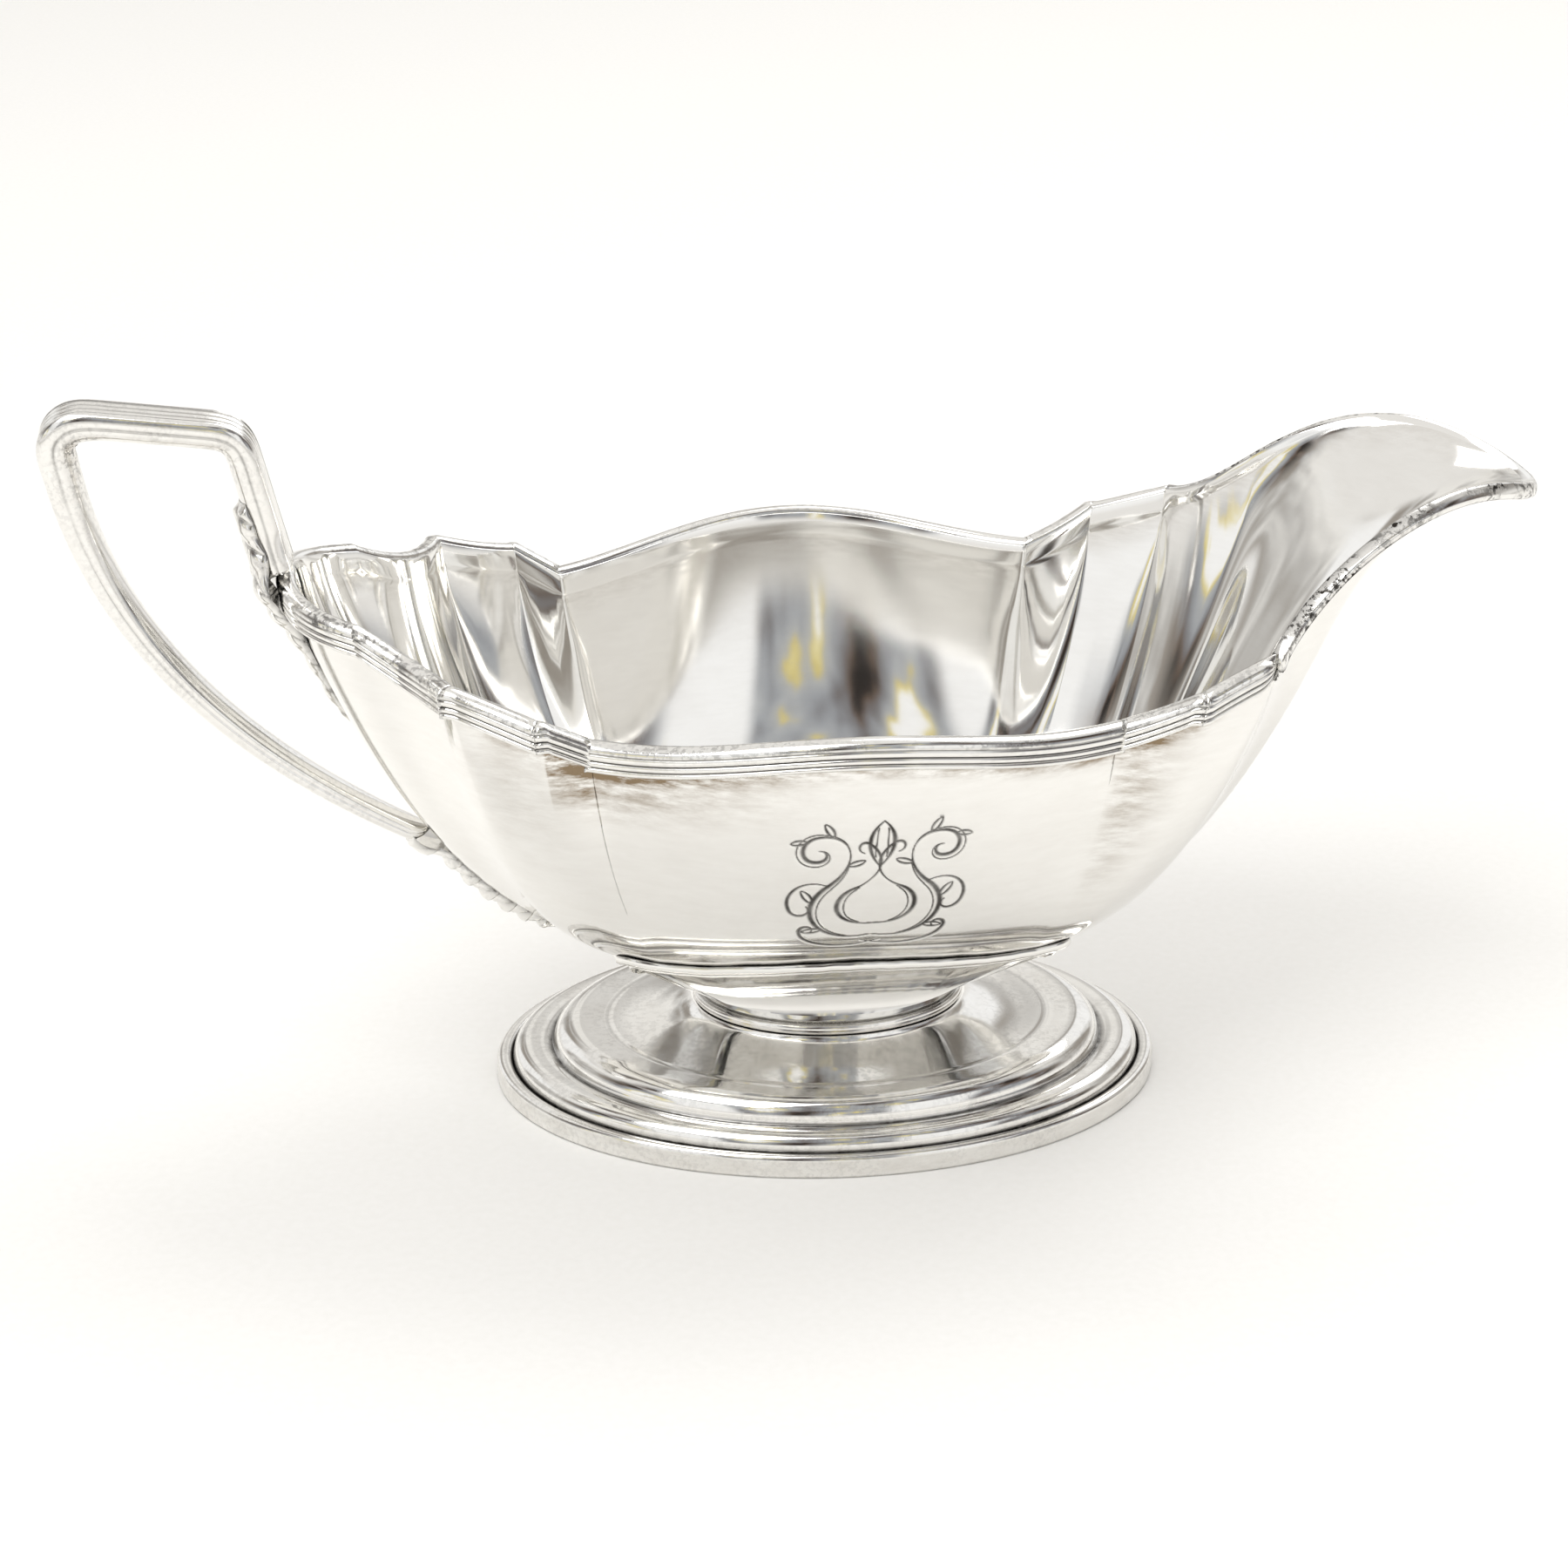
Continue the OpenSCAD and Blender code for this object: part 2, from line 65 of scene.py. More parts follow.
def smooth_step(x: Levels, low: float, high: float) -> Levels:
    """Returns 0 below low, 1 above high, and an S-shaped rise between them."""
    u = np.clip((np.asarray(x, float) - low) / (high - low), 0, 1)
    return u * u * (3 - 2 * u)


def unit(v: Points) -> Points:
    """Returns the vectors scaled to length one."""
    return v / np.maximum(np.linalg.norm(v, axis=-1, keepdims=True), 1e-9)


def bump_at(x: Levels, middle: float, width: float) -> Levels:
    """Returns a round bump of height one that is about width wide."""
    return np.exp(-(((np.asarray(x, float) - middle) / (0.5 * width)) ** 2))


def arc_length(line: Points) -> Levels:
    """Returns the distance along a line at each of its points."""
    return np.concatenate([[0], np.cumsum(np.linalg.norm(np.diff(line, axis=0), axis=1))])


def relax(rows: Points, rounds: int) -> None:
    """Evens out an open line, or a stack of rows, in place; its two ends stay."""
    for _ in range(rounds):
        rows[1:-1] = 0.25 * rows[:-2] + 0.5 * rows[1:-1] + 0.25 * rows[2:]


def relaxed_ring(ring: Points, rounds: int) -> Points:
    """Returns a closed ring of points or numbers, evened out."""
    for _ in range(rounds):
        ring = (np.roll(ring, 1, axis=0) + 2 * ring + np.roll(ring, -1, axis=0)) / 4
    return ring


def bezier(a: Points, b: Points, c: Points, d: Points, s: Levels) -> Points:
    """Walks a cubic curve.

    Args:
        a: Start point, or points.
        b: Control point next to the start.
        c: Control point next to the end.
        d: End point, or points.
        s: Share of the way along, 0 to 1, shaped to broadcast against the points.

    Returns:
        The points at s.
    """
    return (1 - s) ** 3 * a + 3 * s * (1 - s) ** 2 * b + 3 * s * s * (1 - s) * c + s**3 * d


def grid_faces(rows: int, columns: int, closed: bool) -> list[tuple[int, int, int, int]]:
    """Lists the quads of a grid of rows, each of the same number of points.

    Args:
        rows: Number of rows.
        columns: Points in a row.
        closed: Whether each row's last point joins its first.

    Returns:
        Quads as point numbers, row after row.
    """
    wrap = columns if closed else columns - 1
    return [
        (r * columns + k, r * columns + (k + 1) % columns,
         (r + 1) * columns + (k + 1) % columns, (r + 1) * columns + k)
        for r in range(rows - 1) for k in range(wrap)
    ]


def linear_colour(code: str) -> tuple[float, float, float, float]:
    """Turns an sRGB hex code such as "#F4F1EA" into linear RGBA.

    Args:
        code: Six hex digits after a hash.

    Returns:
        Red, green, blue and an alpha of one, all linear.
    """
    shares = [int(code[k:k + 2], 16) / 255 for k in (1, 3, 5)]
    red, green, blue = (x / 12.92 if x <= 0.04045 else ((x + 0.055) / 1.055) ** 2.4 for x in shares)
    return red, green, blue, 1.0


def per_metre(size_mm: float) -> float:
    """Returns the texture scale at which one pattern cell is size_mm across."""
    return 1.0 / (size_mm * MM)


def add_node(tree: bpy.types.NodeTree, kind: str, settings: dict | None = None,
             links: dict | None = None) -> bpy.types.Node:
    """Adds a node with its settings and links.

    Args:
        tree: The node tree that gets the node.
        kind: Blender's name for the node type.
        settings: Attributes to set on the node.
        links: Input name or number to either an output socket or a plain value.

    Returns:
        The new node.
    """
    node = tree.nodes.new(kind)
    for name, value in (settings or {}).items():
        setattr(node, name, value)
    for key, value in (links or {}).items():
        if isinstance(value, bpy.types.NodeSocket):
            tree.links.new(value, node.inputs[key])
        else:
            node.inputs[key].default_value = value
    return node


def set_ramp(node: bpy.types.Node, stops: Sequence[tuple[float, str]]) -> None:
    """Sets a colour ramp's stops.

    Args:
        node: A ColorRamp node.
        stops: Position and sRGB hex code of each stop, in order.
    """
    ramp = node.color_ramp
    for (place, code), element in zip(stops, ramp.elements):
        element.position, element.color = place, linear_colour(code)
    for place, code in stops[len(ramp.elements):]:
        ramp.elements.new(place).color = linear_colour(code)


# ---------------------------------------------------------------- finishes

class Lay(Enum):
    """Which way a polishing wheel left its finest lines."""

    ROUND = (0.35, 0.1, 0.0)    # all ways, as a hand-held mop leaves them
    UPRIGHT = (0.0, 1.35, 0.2)  # mostly up and down the wall
    ALONG = (0.0, 0.2, 0.1)     # mostly along the piece


@dataclass(frozen=True)
class SilverFinish:
    """Sterling silver (92.5 % silver, the rest copper) with one way of working and one history.

    The metal is a warm white mirror. Age gives it three things that the eye reads as old
    silver: hairlines from rubbing, a thin brown-yellow film, and black sulphide where no
    cloth reaches.
    """

    name: str
    metal: str = "#F5F4F1"       # clean sterling: white, barely warm from the copper
    # this pale brown also paints a band of shading on the bowl's front
    film: str = "#8C7A63"        # thin tarnish film: pale brown
    # this brown-black, with the dull roughness, also paints the shadow under the bowl's rim wire
    sulphide_and_shade: str = "#2E2A26"    # thick silver sulphide: brown-black
    polish: float = 0.07         # roughness of the rubbed metal
    dull: float = 0.42           # roughness under thick tarnish
    lay: Lay = Lay.ROUND
    hairline_mm: float = 0.22    # spacing of hairlines; real ones are finer than the render shows
    ripple_mm: float = 16.0      # spacing of the hammer's last soft ripples
    ripple_depth_mm: float = 0.035
    mottle_mm: float = 0.9       # size of one spot of tarnish

    def material(self) -> bpy.types.Material:
        """Builds the procedural material.

        Returns:
            A metal that reads the mesh's own tarnish-and-shade, film and mottle levels; these also carry
            painted shade.
        """
        material = bpy.data.materials.new(self.name)
        material.use_nodes = True
        tree = material.node_tree
        tree.nodes.clear()
        place = add_node(tree, "ShaderNodeTexCoord").outputs["Object"]
        tarnish = self._tarnish_and_shade_level(tree, place)
        film = self._film_level(tree, place)
        hairlines = self._hairlines(tree, place)
        filmed = add_node(tree, "ShaderNodeMix", {"data_type": "RGBA"},
                          {"Factor": film, 6: linear_colour(self.metal), 7: linear_colour(self.film)})
        colour = add_node(tree, "ShaderNodeMix", {"data_type": "RGBA"},
                          {"Factor": tarnish, 6: filmed.outputs[2], 7: linear_colour(self.sulphide_and_shade)})
        rough_film = add_node(tree, "ShaderNodeMapRange", {},
                              {"Value": film, "To Min": self.polish, "To Max": self.polish + 0.16})
        rough_line = add_node(tree, "ShaderNodeMath", {"operation": "MULTIPLY_ADD"},
                              {0: hairlines, 1: 0.015, 2: rough_film.outputs["Result"]})
        rough = add_node(tree, "ShaderNodeMix", {"data_type": "FLOAT"},
                         {"Factor": tarnish, 2: rough_line.outputs[0], 3: self.dull})
        shader = add_node(tree, "ShaderNodeBsdfPrincipled", {},
                          {"Base Color": colour.outputs[2], "Metallic": 1.0, "Roughness": rough.outputs[0],
                           "Normal": self._relief(tree, place, hairlines, tarnish)})
        add_node(tree, "ShaderNodeOutputMaterial", {}, {"Surface": shader.outputs[0]})
        return material

    def _noise(self, tree: bpy.types.NodeTree, place: bpy.types.NodeSocket, size_mm: float,
               detail: float = 3.0, rough: float = 0.55) -> bpy.types.NodeSocket:
        """Returns a noise of the given grain size, 0 to 1."""
        return add_node(tree, "ShaderNodeTexNoise", {},
                        {"Vector": place, "Scale": per_metre(size_mm), "Detail": detail,
                         "Roughness": rough}).outputs["Fac"]

    def _tarnish_and_shade_level(self, tree: bpy.types.NodeTree, place: bpy.types.NodeSocket) -> bpy.types.NodeSocket:
        """Mixes the grooves' tarnish, and the painted shadow under the bowl's wire, with broken spots.

        Args:
            tree: The material's tree.
            place: Object coordinates.

        Returns:
            Level of thick tarnish and painted shade, 0 to 1.
        """
        groove = add_node(tree, "ShaderNodeAttribute", {"attribute_name": "tarnish"}).outputs["Fac"]
        mottle = add_node(tree, "ShaderNodeAttribute", {"attribute_name": "mottle"}).outputs["Fac"]
        broken = add_node(tree, "ShaderNodeMapRange", {},
                          {"Value": self._noise(tree, place, 2.4), "From Min": 0.3, "From Max": 0.62,
                           "To Min": 0.78, "To Max": 1.0}).outputs["Result"]
        spots = add_node(tree, "ShaderNodeMapRange", {},
                         {"Value": self._noise(tree, place, self.mottle_mm, 4.0, 0.62), "From Min": 0.48,
                          "From Max": 0.58}).outputs["Result"]
        patches = add_node(tree, "ShaderNodeMapRange", {},
                           {"Value": self._noise(tree, place, 9.0, 2.0), "From Min": 0.34,
                            "From Max": 0.54}).outputs["Result"]
        spotted = add_node(tree, "ShaderNodeMath", {"operation": "MULTIPLY"},
                           {0: spots, 1: patches}).outputs[0]
        grooved = add_node(tree, "ShaderNodeMath", {"operation": "MULTIPLY"},
                           {0: groove, 1: broken}).outputs[0]
        return add_node(tree, "ShaderNodeMath", {"operation": "MULTIPLY_ADD", "use_clamp": True},
                        {0: mottle, 1: spotted, 2: grooved}).outputs[0]

    def _film_level(self, tree: bpy.types.NodeTree, place: bpy.types.NodeSocket) -> bpy.types.NodeSocket:
        """Streaks the film level along the wall, where thin film has run and been rubbed; on the bowl this
        level also holds a band of painted shading.

        Args:
            tree: The material's tree.
            place: Object coordinates.

        Returns:
            Level of thin film, 0 to 1.
        """
        film = add_node(tree, "ShaderNodeAttribute", {"attribute_name": "film"}).outputs["Fac"]
        long_way = add_node(tree, "ShaderNodeMapping", {"vector_type": "TEXTURE"},
                            {"Vector": place, "Scale": (3.6, 3.6, 0.9)})
        streak = add_node(tree, "ShaderNodeMapRange", {},
                          {"Value": self._noise(tree, long_way.outputs[0], 1.5, 6.0, 0.68), "From Min": 0.36,
                           "From Max": 0.66}).outputs["Result"]
        cloud = add_node(tree, "ShaderNodeMapRange", {},
                         {"Value": self._noise(tree, place, 11.0), "From Min": 0.3, "From Max": 0.75,
                          "To Min": 0.0, "To Max": 0.05}).outputs["Result"]
        return add_node(tree, "ShaderNodeMath", {"operation": "MULTIPLY_ADD", "use_clamp": True},
                        {0: film, 1: streak, 2: cloud}).outputs[0]

    def _hairlines(self, tree: bpy.types.NodeTree, place: bpy.types.NodeSocket) -> bpy.types.NodeSocket:
        """Draws the rubbing lines as a noise pulled out sixtyfold along the lay.

        Args:
            tree: The material's tree.
            place: Object coordinates.

        Returns:
            Strength of the lines, 0 to 1.
        """
        turned = add_node(tree, "ShaderNodeMapping", {"vector_type": "TEXTURE"},
                          {"Vector": place, "Rotation": self.lay.value, "Scale": (60.0, 1.0, 1.0)})
        lines = self._noise(tree, turned.outputs[0], self.hairline_mm, 2.0, 0.5)
        return add_node(tree, "ShaderNodeMapRange", {},
                        {"Value": lines, "From Min": 0.52, "From Max": 0.74}).outputs["Result"]

    def _relief(self, tree: bpy.types.NodeTree, place: bpy.types.NodeSocket,
                hairlines: bpy.types.NodeSocket, tarnish: bpy.types.NodeSocket) -> bpy.types.NodeSocket:
        """Stacks the bumps too fine for the mesh: ripples, hairlines and the crust of tarnish.

        Args:
            tree: The material's tree.
            place: Object coordinates.
            hairlines: Strength of the rubbing lines.
            tarnish: Level of thick tarnish and painted shade.

        Returns:
            The normal for the shader.
        """
        ripple = add_node(tree, "ShaderNodeBump", {},
                          {"Height": self._noise(tree, place, self.ripple_mm, 1.0), "Strength": 1.0,
                           "Distance": self.ripple_depth_mm * MM})
        lines = add_node(tree, "ShaderNodeBump", {},
                         {"Height": hairlines, "Strength": 0.2, "Distance": 0.0005 * MM,
                          "Normal": ripple.outputs[0]})
        crust = add_node(tree, "ShaderNodeBump", {},
                         {"Height": tarnish, "Strength": 0.4, "Distance": 0.03 * MM,
                          "Normal": lines.outputs[0]})
        return crust.outputs[0]


@dataclass(frozen=True)
class PaperSweep:
    """Heavy matt paper that the boat stands on: pale, even, with no shine."""

    name: str = "Photographer's sweep, matt white paper"
    colour: str = "#FBFAF8"

    def material(self) -> bpy.types.Material:
        """Returns the paper with its faint fibre mottling."""
        material = bpy.data.materials.new(self.name)
        material.use_nodes = True
        tree = material.node_tree
        tree.nodes.clear()
        place = add_node(tree, "ShaderNodeTexCoord").outputs["Object"]
        fibre = add_node(tree, "ShaderNodeTexNoise", {}, {"Vector": place, "Scale": per_metre(1.2)})
        tint = add_node(tree, "ShaderNodeMix", {"data_type": "RGBA"},
                        {"Factor": fibre.outputs["Fac"], 6: linear_colour(self.colour),
                         7: linear_colour("#F5F4F1")})
        shader = add_node(tree, "ShaderNodeBsdfPrincipled", {},
                          {"Base Color": tint.outputs[2], "Roughness": 0.9})
        add_node(tree, "ShaderNodeOutputMaterial", {}, {"Surface": shader.outputs[0]})
        return material


RAISED_SHEET = SilverFinish("Sterling silver sheet, raised and mop polished", lay=Lay.UPRIGHT)
SPUN_SHEET = SilverFinish("Sterling silver sheet, spun and planished", ripple_depth_mm=0.03, lay=Lay.ALONG)
DRAWN_WIRE = SilverFinish("Sterling silver wire, drawn and reeded", polish=0.1, ripple_depth_mm=0.02,
                          ripple_mm=7.0, lay=Lay.ALONG)
CAST_SILVER = SilverFinish("Sterling silver, cast and chased", polish=0.1, ripple_depth_mm=0.05,
                           ripple_mm=5.0, mottle_mm=0.6)


# ---------------------------------------------------------------- pieces

@dataclass
class PieceMaker:
    """Turns arrays into finished pieces that ride on the frame."""

    shift_mm: float              # from the foot's centre to the row's origin, along X
    made: list[str] = field(default_factory=list)
    _materials: dict[str, bpy.types.Material] = field(default_factory=dict)

    def finish(self, finish: SilverFinish) -> bpy.types.Material:
        """Returns the finish's material, made once."""
        if finish.name not in self._materials:
            self._materials[finish.name] = finish.material()
        return self._materials[finish.name]

    def add(self, name: str, points: Points, faces: Sequence[Sequence[int]], finish: SilverFinish,
            slot: str, nodes: Sequence[str], **levels: Levels) -> bpy.types.Object:
        """Makes one piece.

        Args:
            name: The piece's name.
            points: Its points, in millimetres about the foot's centre.
            faces: Its faces, as point numbers.
            finish: How it was worked.
            slot: The record's material slot; not used.
            nodes: The CAD nodes that it stands for.
            **levels: Tarnish-and-shade, film and mottle levels, one number for each point.

        Returns:
            The new object.
        """
        flat = points.reshape(-1, 3)
        mesh = bpy.data.meshes.new(name)
        mesh.from_pydata(((flat + [self.shift_mm, 0, 0]) * MM).tolist(), [], [list(f) for f in faces])
        for level in ("tarnish", "film", "mottle"):
            values = np.broadcast_to(levels.get(level, 0.0), points.shape[:-1]).astype(np.float32)
            mesh.attributes.new(level, "FLOAT", "POINT").data.foreach_set("value", values.ravel())
        mesh.shade_smooth()
        tidy = bmesh.new()
        tidy.from_mesh(mesh)
        bmesh.ops.recalc_face_normals(tidy, faces=tidy.faces)
        tidy.to_mesh(mesh)
        tidy.free()
        piece = bpy.data.objects.new(name, mesh)
        bpy.context.scene.collection.objects.link(piece)
        mesh.materials.append(self.finish(finish))
        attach(piece, "root")
        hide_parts(*nodes)
        self.made.append(name)
        LOG.info("%s: %d points, %s", name, len(flat), finish.name)
        return piece


# ---------------------------------------------------------------- the bowl's form

@dataclass
class BowlForm:
    """The surface that all other pieces are fitted to. Sizes in millimetres."""

    heel_reach: float = 71.0
    shoulder_reach: float = 51.5
    spout_length: float = 43.0
    mouth_width: float = 82.0
    throat_width: float = 49.0
    rim_height: float = 67.8
    heel_rise: float = 9.5
    tip_rise: float = 16.6
    lip_arch: float = 8.0
    wall: float = 1.0
    well_height: float = 24.0
    well_length: float = 71.0
    well_width: float = 37.0
    well_power: float = 2.6
    wire_height: float = 4.0
    lip_height: float = 2.2
    spout_panel: int = 8
    throat_ease: tuple[float, float] = (7.12, 8.3)   # stations between which the throat is one curve
    fold_radius: float = 4.6         # half the run over which a fold is rounded
    front_fullness: float = 0.17     # how much fuller the long side panels are at the bottom
    swells: tuple[float, ...] = (2.8, -1.8, -0.4, 0.0, 10.25, -0.2, -0.2, 0.0)
    arches: tuple[float, ...] = (0.0, -1.3, -0.2, 0.0, 3.4, -0.3, 0.0, 0.0)
    fold_angles: tuple[float, ...] = (0, 6, 17, 46, 58, 120, 134, 160, 170, 180)

    @property
    def tip(self) -> tuple[float, float]:
        """X and Z of the spout's tip."""
        return self.shoulder_reach + self.spout_length, self.rim_height + self.tip_rise

    @property
    def corners(self) -> Points:
        """Corners of the mouth on the back half, from the heel to the spout's throat."""
        heel, side, rim = self.heel_reach, self.mouth_width / 2, self.rim_height
        front = self.shoulder_reach
        return np.array([
            (-heel, 0, rim + self.heel_rise),
            (-0.885 * heel, 0.34 * side, rim + 0.66 * self.heel_rise),
            (-0.725 * heel, 0.645 * side, rim + 0.28 * self.heel_rise),
            (-0.58 * heel, 0.755 * side, rim - 0.5),
            (-0.493 * heel, 0.718 * side, rim - 3.8),
            (0.62 * front, 0.788 * side, rim - 2.6),
            (0.81 * front, 0.85 * side, rim + 0.11 * self.tip_rise),
            (front, 0.765 * side, rim + 0.32 * self.tip_rise),
            (front + 4, self.throat_width / 2, rim + 0.45 * self.tip_rise),
        ])

    def edge(self, t: Levels) -> Points:
        """Follows the top inner edge of the mouth.

        Args:
            t: Stations, -9 to 9: 0 at the heel, 9 at the tip, whole numbers at the corners,
                negative on the front half.

        Returns:
            One point for each station.
        """
        t = np.asarray(t, float)
        low, high = self.throat_ease
        past = np.abs(t) > self.spout_panel + 1
        far = np.where(past, 2 * (self.spout_panel + 1) - np.abs(t), np.abs(t))
        side = np.where(t < 0, -1.0, 1.0) * np.where(past, -1.0, 1.0)
        a, b = self._sharp_edge(np.array([low, high]))
        pace_a, pace_b = (self._sharp_edge(np.array([low + 0.01, high + 0.01])) - np.array([a, b])) / 0.01
        reach = 0.36 * float(np.linalg.norm(b - a))
        tau = np.clip((far - low) / (high - low), 0, 1)
        first, last = (float(np.linalg.norm(pace)) * (high - low) / 3 / reach for pace in (pace_a, pace_b))
        share = tau * (1 - tau) ** 2 * first + tau * tau * (3 - 2 * tau) + tau * tau * (tau - 1) * last
        eased = bezier(a, a + reach * unit(pace_a), b - reach * unit(pace_b), b, share[..., None])
        eased = eased * np.stack([np.ones_like(side), side, np.ones_like(side)], -1)
        return np.where(((tau > 0) & (tau < 1))[..., None], eased, self._sharp_edge(t))

    def _sharp_edge(self, t: Levels) -> Points:
        """Returns the edge with its throat corner still sharp."""
        past = np.abs(t) > self.spout_panel + 1
        side = np.where(t < 0, -1.0, 1.0) * np.where(past, -1.0, 1.0)
        far = np.where(past, 2 * (self.spout_panel + 1) - np.abs(t), np.abs(t))
        corners = self.corners
        panel = np.clip(far.astype(int), 0, self.spout_panel - 1)
        a, b, u = corners[panel], corners[panel + 1], (far - panel)[..., None]
        run = unit((b - a) * [1, 1, 0])
        out = np.stack([-run[..., 1], run[..., 0], np.zeros_like(far)], -1)
        hump = np.clip(4 * u * (1 - u), 0, 1)
        middle = (panel == 4)[..., None]
        swell = np.array(self.swells)[panel][..., None] * hump ** np.where(middle, 1.15, 1.0)
        arch = np.array(self.arches)[panel][..., None] * hump ** np.where(middle, 2.5, 1.0)
        belly = a + (b - a) * u + swell * out + arch * [0, 0, 1]
        v = 1 - (1 - np.clip(far - self.spout_panel, 0, 1)) ** 1.8
        throat = corners[self.spout_panel]
        lip = np.stack([
            throat[0] + (self.tip[0] - throat[0]) * v,
            throat[1] * np.sqrt(np.maximum(0, 1 - v**1.1)),
            throat[2] + (self.tip[1] - throat[2]) * v + self.lip_arch * 4 * v * (1 - v)], -1)
        point = np.where((far > self.spout_panel)[..., None], lip, belly)
        return point * np.stack([np.ones_like(side), side, np.ones_like(side)], -1)

    def run(self, t: Levels) -> Points:
        """Returns the direction of the edge; at a corner it splits the angle."""
        return unit(self.edge(t + 0.02) - self.edge(t - 0.02))

    def oval(self, length: float, width: float, power: float, angle: Levels) -> Points:
        """Returns X and Y round a squared oval, the angle in degrees from the heel."""
        cos, sin = np.cos(np.radians(angle)), np.sin(np.radians(angle))
        return np.stack([-length / 2 * np.sign(cos) * np.abs(cos) ** (2 / power),
                         width / 2 * np.sign(sin) * np.abs(sin) ** (2 / power)], -1)

    def fold_angle(self, t: Levels) -> Levels:
        """Returns the angle round the underside at which a station's wall ends."""
        return np.sign(t) * np.interp(np.abs(t), range(10), self.fold_angles)

    def well_edge(self, t: Levels, inset: float) -> Points:
        """Returns the edge of the bowl's flat underside."""
        flat = self.oval(self.well_length - 2 * inset, self.well_width - 2 * inset, self.well_power,
                         self.fold_angle(t))
        return np.concatenate([flat, np.full(flat.shape[:-1] + (1,), self.well_height + inset)], -1)

    def trough(self, t: Levels) -> Levels:
        """Returns how far a wall leans over into the open spout: 0 on the belly, 1 at the tip."""
        v = np.clip(np.abs(t) - self.spout_panel, 0, 1)
        return (1 - (1 - v) ** 1.8) ** 1.2

    def wire_depth(self, t: Levels) -> Levels:
        """Returns the height that the rim's wire takes above the sheet."""
        drop = smooth_step(np.abs(t), self.spout_panel - 1.0, self.spout_panel - 0.8)
        return self.wire_height + (self.lip_height - self.wire_height) * drop

    def wall_run(self, t: Levels) -> Points:
        """Returns the direction in which the wall reaches the rim."""
        rise = self.edge(t) - self.well_edge(t, self.wall)
        lean = rise * [1, 1, 0]
        upright = [0, 0, 1] * (self.edge(t)[..., 2:] - self.well_height)
        w = self.trough(t)[..., None]
        return unit((1 - w) * unit(0.12 * lean + 0.35 * upright) + w * unit(lean))

    def rim_out(self, t: Levels) -> Points:
        """Returns the wall's outward direction at the rim."""
        return -unit(np.cross(self.run(t), self.wall_run(t)))

    def rim_offset(self, t: Levels) -> Points:
        """Returns the outward direction, longer at a corner, so that a wire stays wide round its mitre."""
        here = self.edge(t)
        before, after = unit(here - self.edge(t - 0.01)), unit(self.edge(t + 0.01) - here)
        half = np.sqrt(np.clip((1 + (before * after).sum(-1)) / 2, 0.5, 1))
        return self.rim_out(t) / half[..., None]

    def inside(self, t: Levels, s: Levels) -> Points:
        """Finds points on the bowl's inner face.

        Args:
            t: Stations round the mouth.
            s: Levels from the underside (0) to the top of the sheet (1).

        Returns:
            One point for each pair of t and s.
        """
        t, s = np.broadcast_arrays(np.asarray(t, float), np.asarray(s, float))
        t = np.where(np.abs(t) > 9, np.sign(t) * (np.abs(t) - 18), t)
        run = self.wall_run(t)
        top = self.edge(t) - self.wire_depth(t)[..., None] * run
        foot = self.well_edge(t, self.wall)
        rise = top - foot
        flat, w = rise * [1, 1, 0], self.trough(t)[..., None]
        heel = np.maximum(0, 1 - np.abs(t) / 2)[..., None]
        full = self.front_fullness * bump_at(np.abs(t), 4.5, 3.2)[..., None]
        low = foot + (0.42 + full - 0.04 * w + 0.05 * heel) * flat
        low = low + (0.12 - 0.3 * full - 0.08 * w - 0.05 * heel) * rise[..., 2:] * [0, 0, 1]
        length = np.linalg.norm(flat, axis=-1, keepdims=True)
        steep = np.hypot(0.12 * length, 0.35 * rise[..., 2:])
        high = top - ((1 - w) * (1 - 0.3 * heel) * steep + 0.55 * w * length) * run
        return bezier(foot, low, high, top, s[..., None])

    def outward(self, t: Levels, s: Levels) -> Points:
        """Returns the wall's outward direction at points on it."""
        around = self.inside(np.minimum(9, t + 0.03), s) - self.inside(np.maximum(-9, t - 0.03), s)
        up = self.inside(t, np.minimum(1, s + 0.01)) - self.inside(t, np.maximum(0, s - 0.01))
        out = np.cross(up, around)
        on_axis = 1 - smooth_step(np.minimum(np.abs(t), 9 - np.abs(t)), 0.0, 0.02)[..., None]
        return unit(out * (1 - on_axis * [0, 1, 0]))

    def outside(self, t: Levels, s: Levels, out: float | Levels = 0.0) -> Points:
        """Finds points on the bowl's outer face, or a little further out.

        Args:
            t: Stations round the mouth.
            s: Levels from the underside (0) to the top of the sheet (1).
            out: Distance beyond the outer face.

        Returns:
            One point for each pair of t and s.
        """
        t, s = np.broadcast_arrays(np.asarray(t, float), np.asarray(s, float))
        low = smooth_step(s, 0.0, 0.03)[..., None]
        down = unit(low * self.outward(t, s) + (1 - low) * [0, 0, -1])
        return self.inside(t, s) + (self.wall + np.asarray(out, float))[..., None] * down

    def eased(self, t: Levels, s: Levels) -> Points:
        """Finds points on the inner face with its folds rounded, as a hammer leaves them.

        Args:
            t: Stations round the mouth, one row.
            s: Levels up the wall, one column.

        Returns:
            One point for each pair of t and s.
        """
        table = np.linspace(-9.5, 9.5, 3801)
        run = arc_length(self.edge(table))
        place = np.interp(t, table, run)
        radius = self.fold_radius * (1 - 0.93 * smooth_step(s, 0.72, 1.0))
        total = np.zeros(np.broadcast_shapes(t.shape, s.shape) + (3,))
        shifts = np.linspace(-1, 1, 9)
        for shift, weight in zip(shifts, (1 + np.cos(np.pi * shifts)) / (1 + np.cos(np.pi * shifts)).sum()):
            total += weight * self.inside(np.interp(place + shift * radius, run, table), s)
        return total

    def level_at(self, t: float, height: float) -> float:
        """Returns the level at which the outer face passes a height above the table."""
        levels = np.linspace(0, 1, 201)
        return float(np.interp(height, self.outside(t, levels)[:, 2], levels))

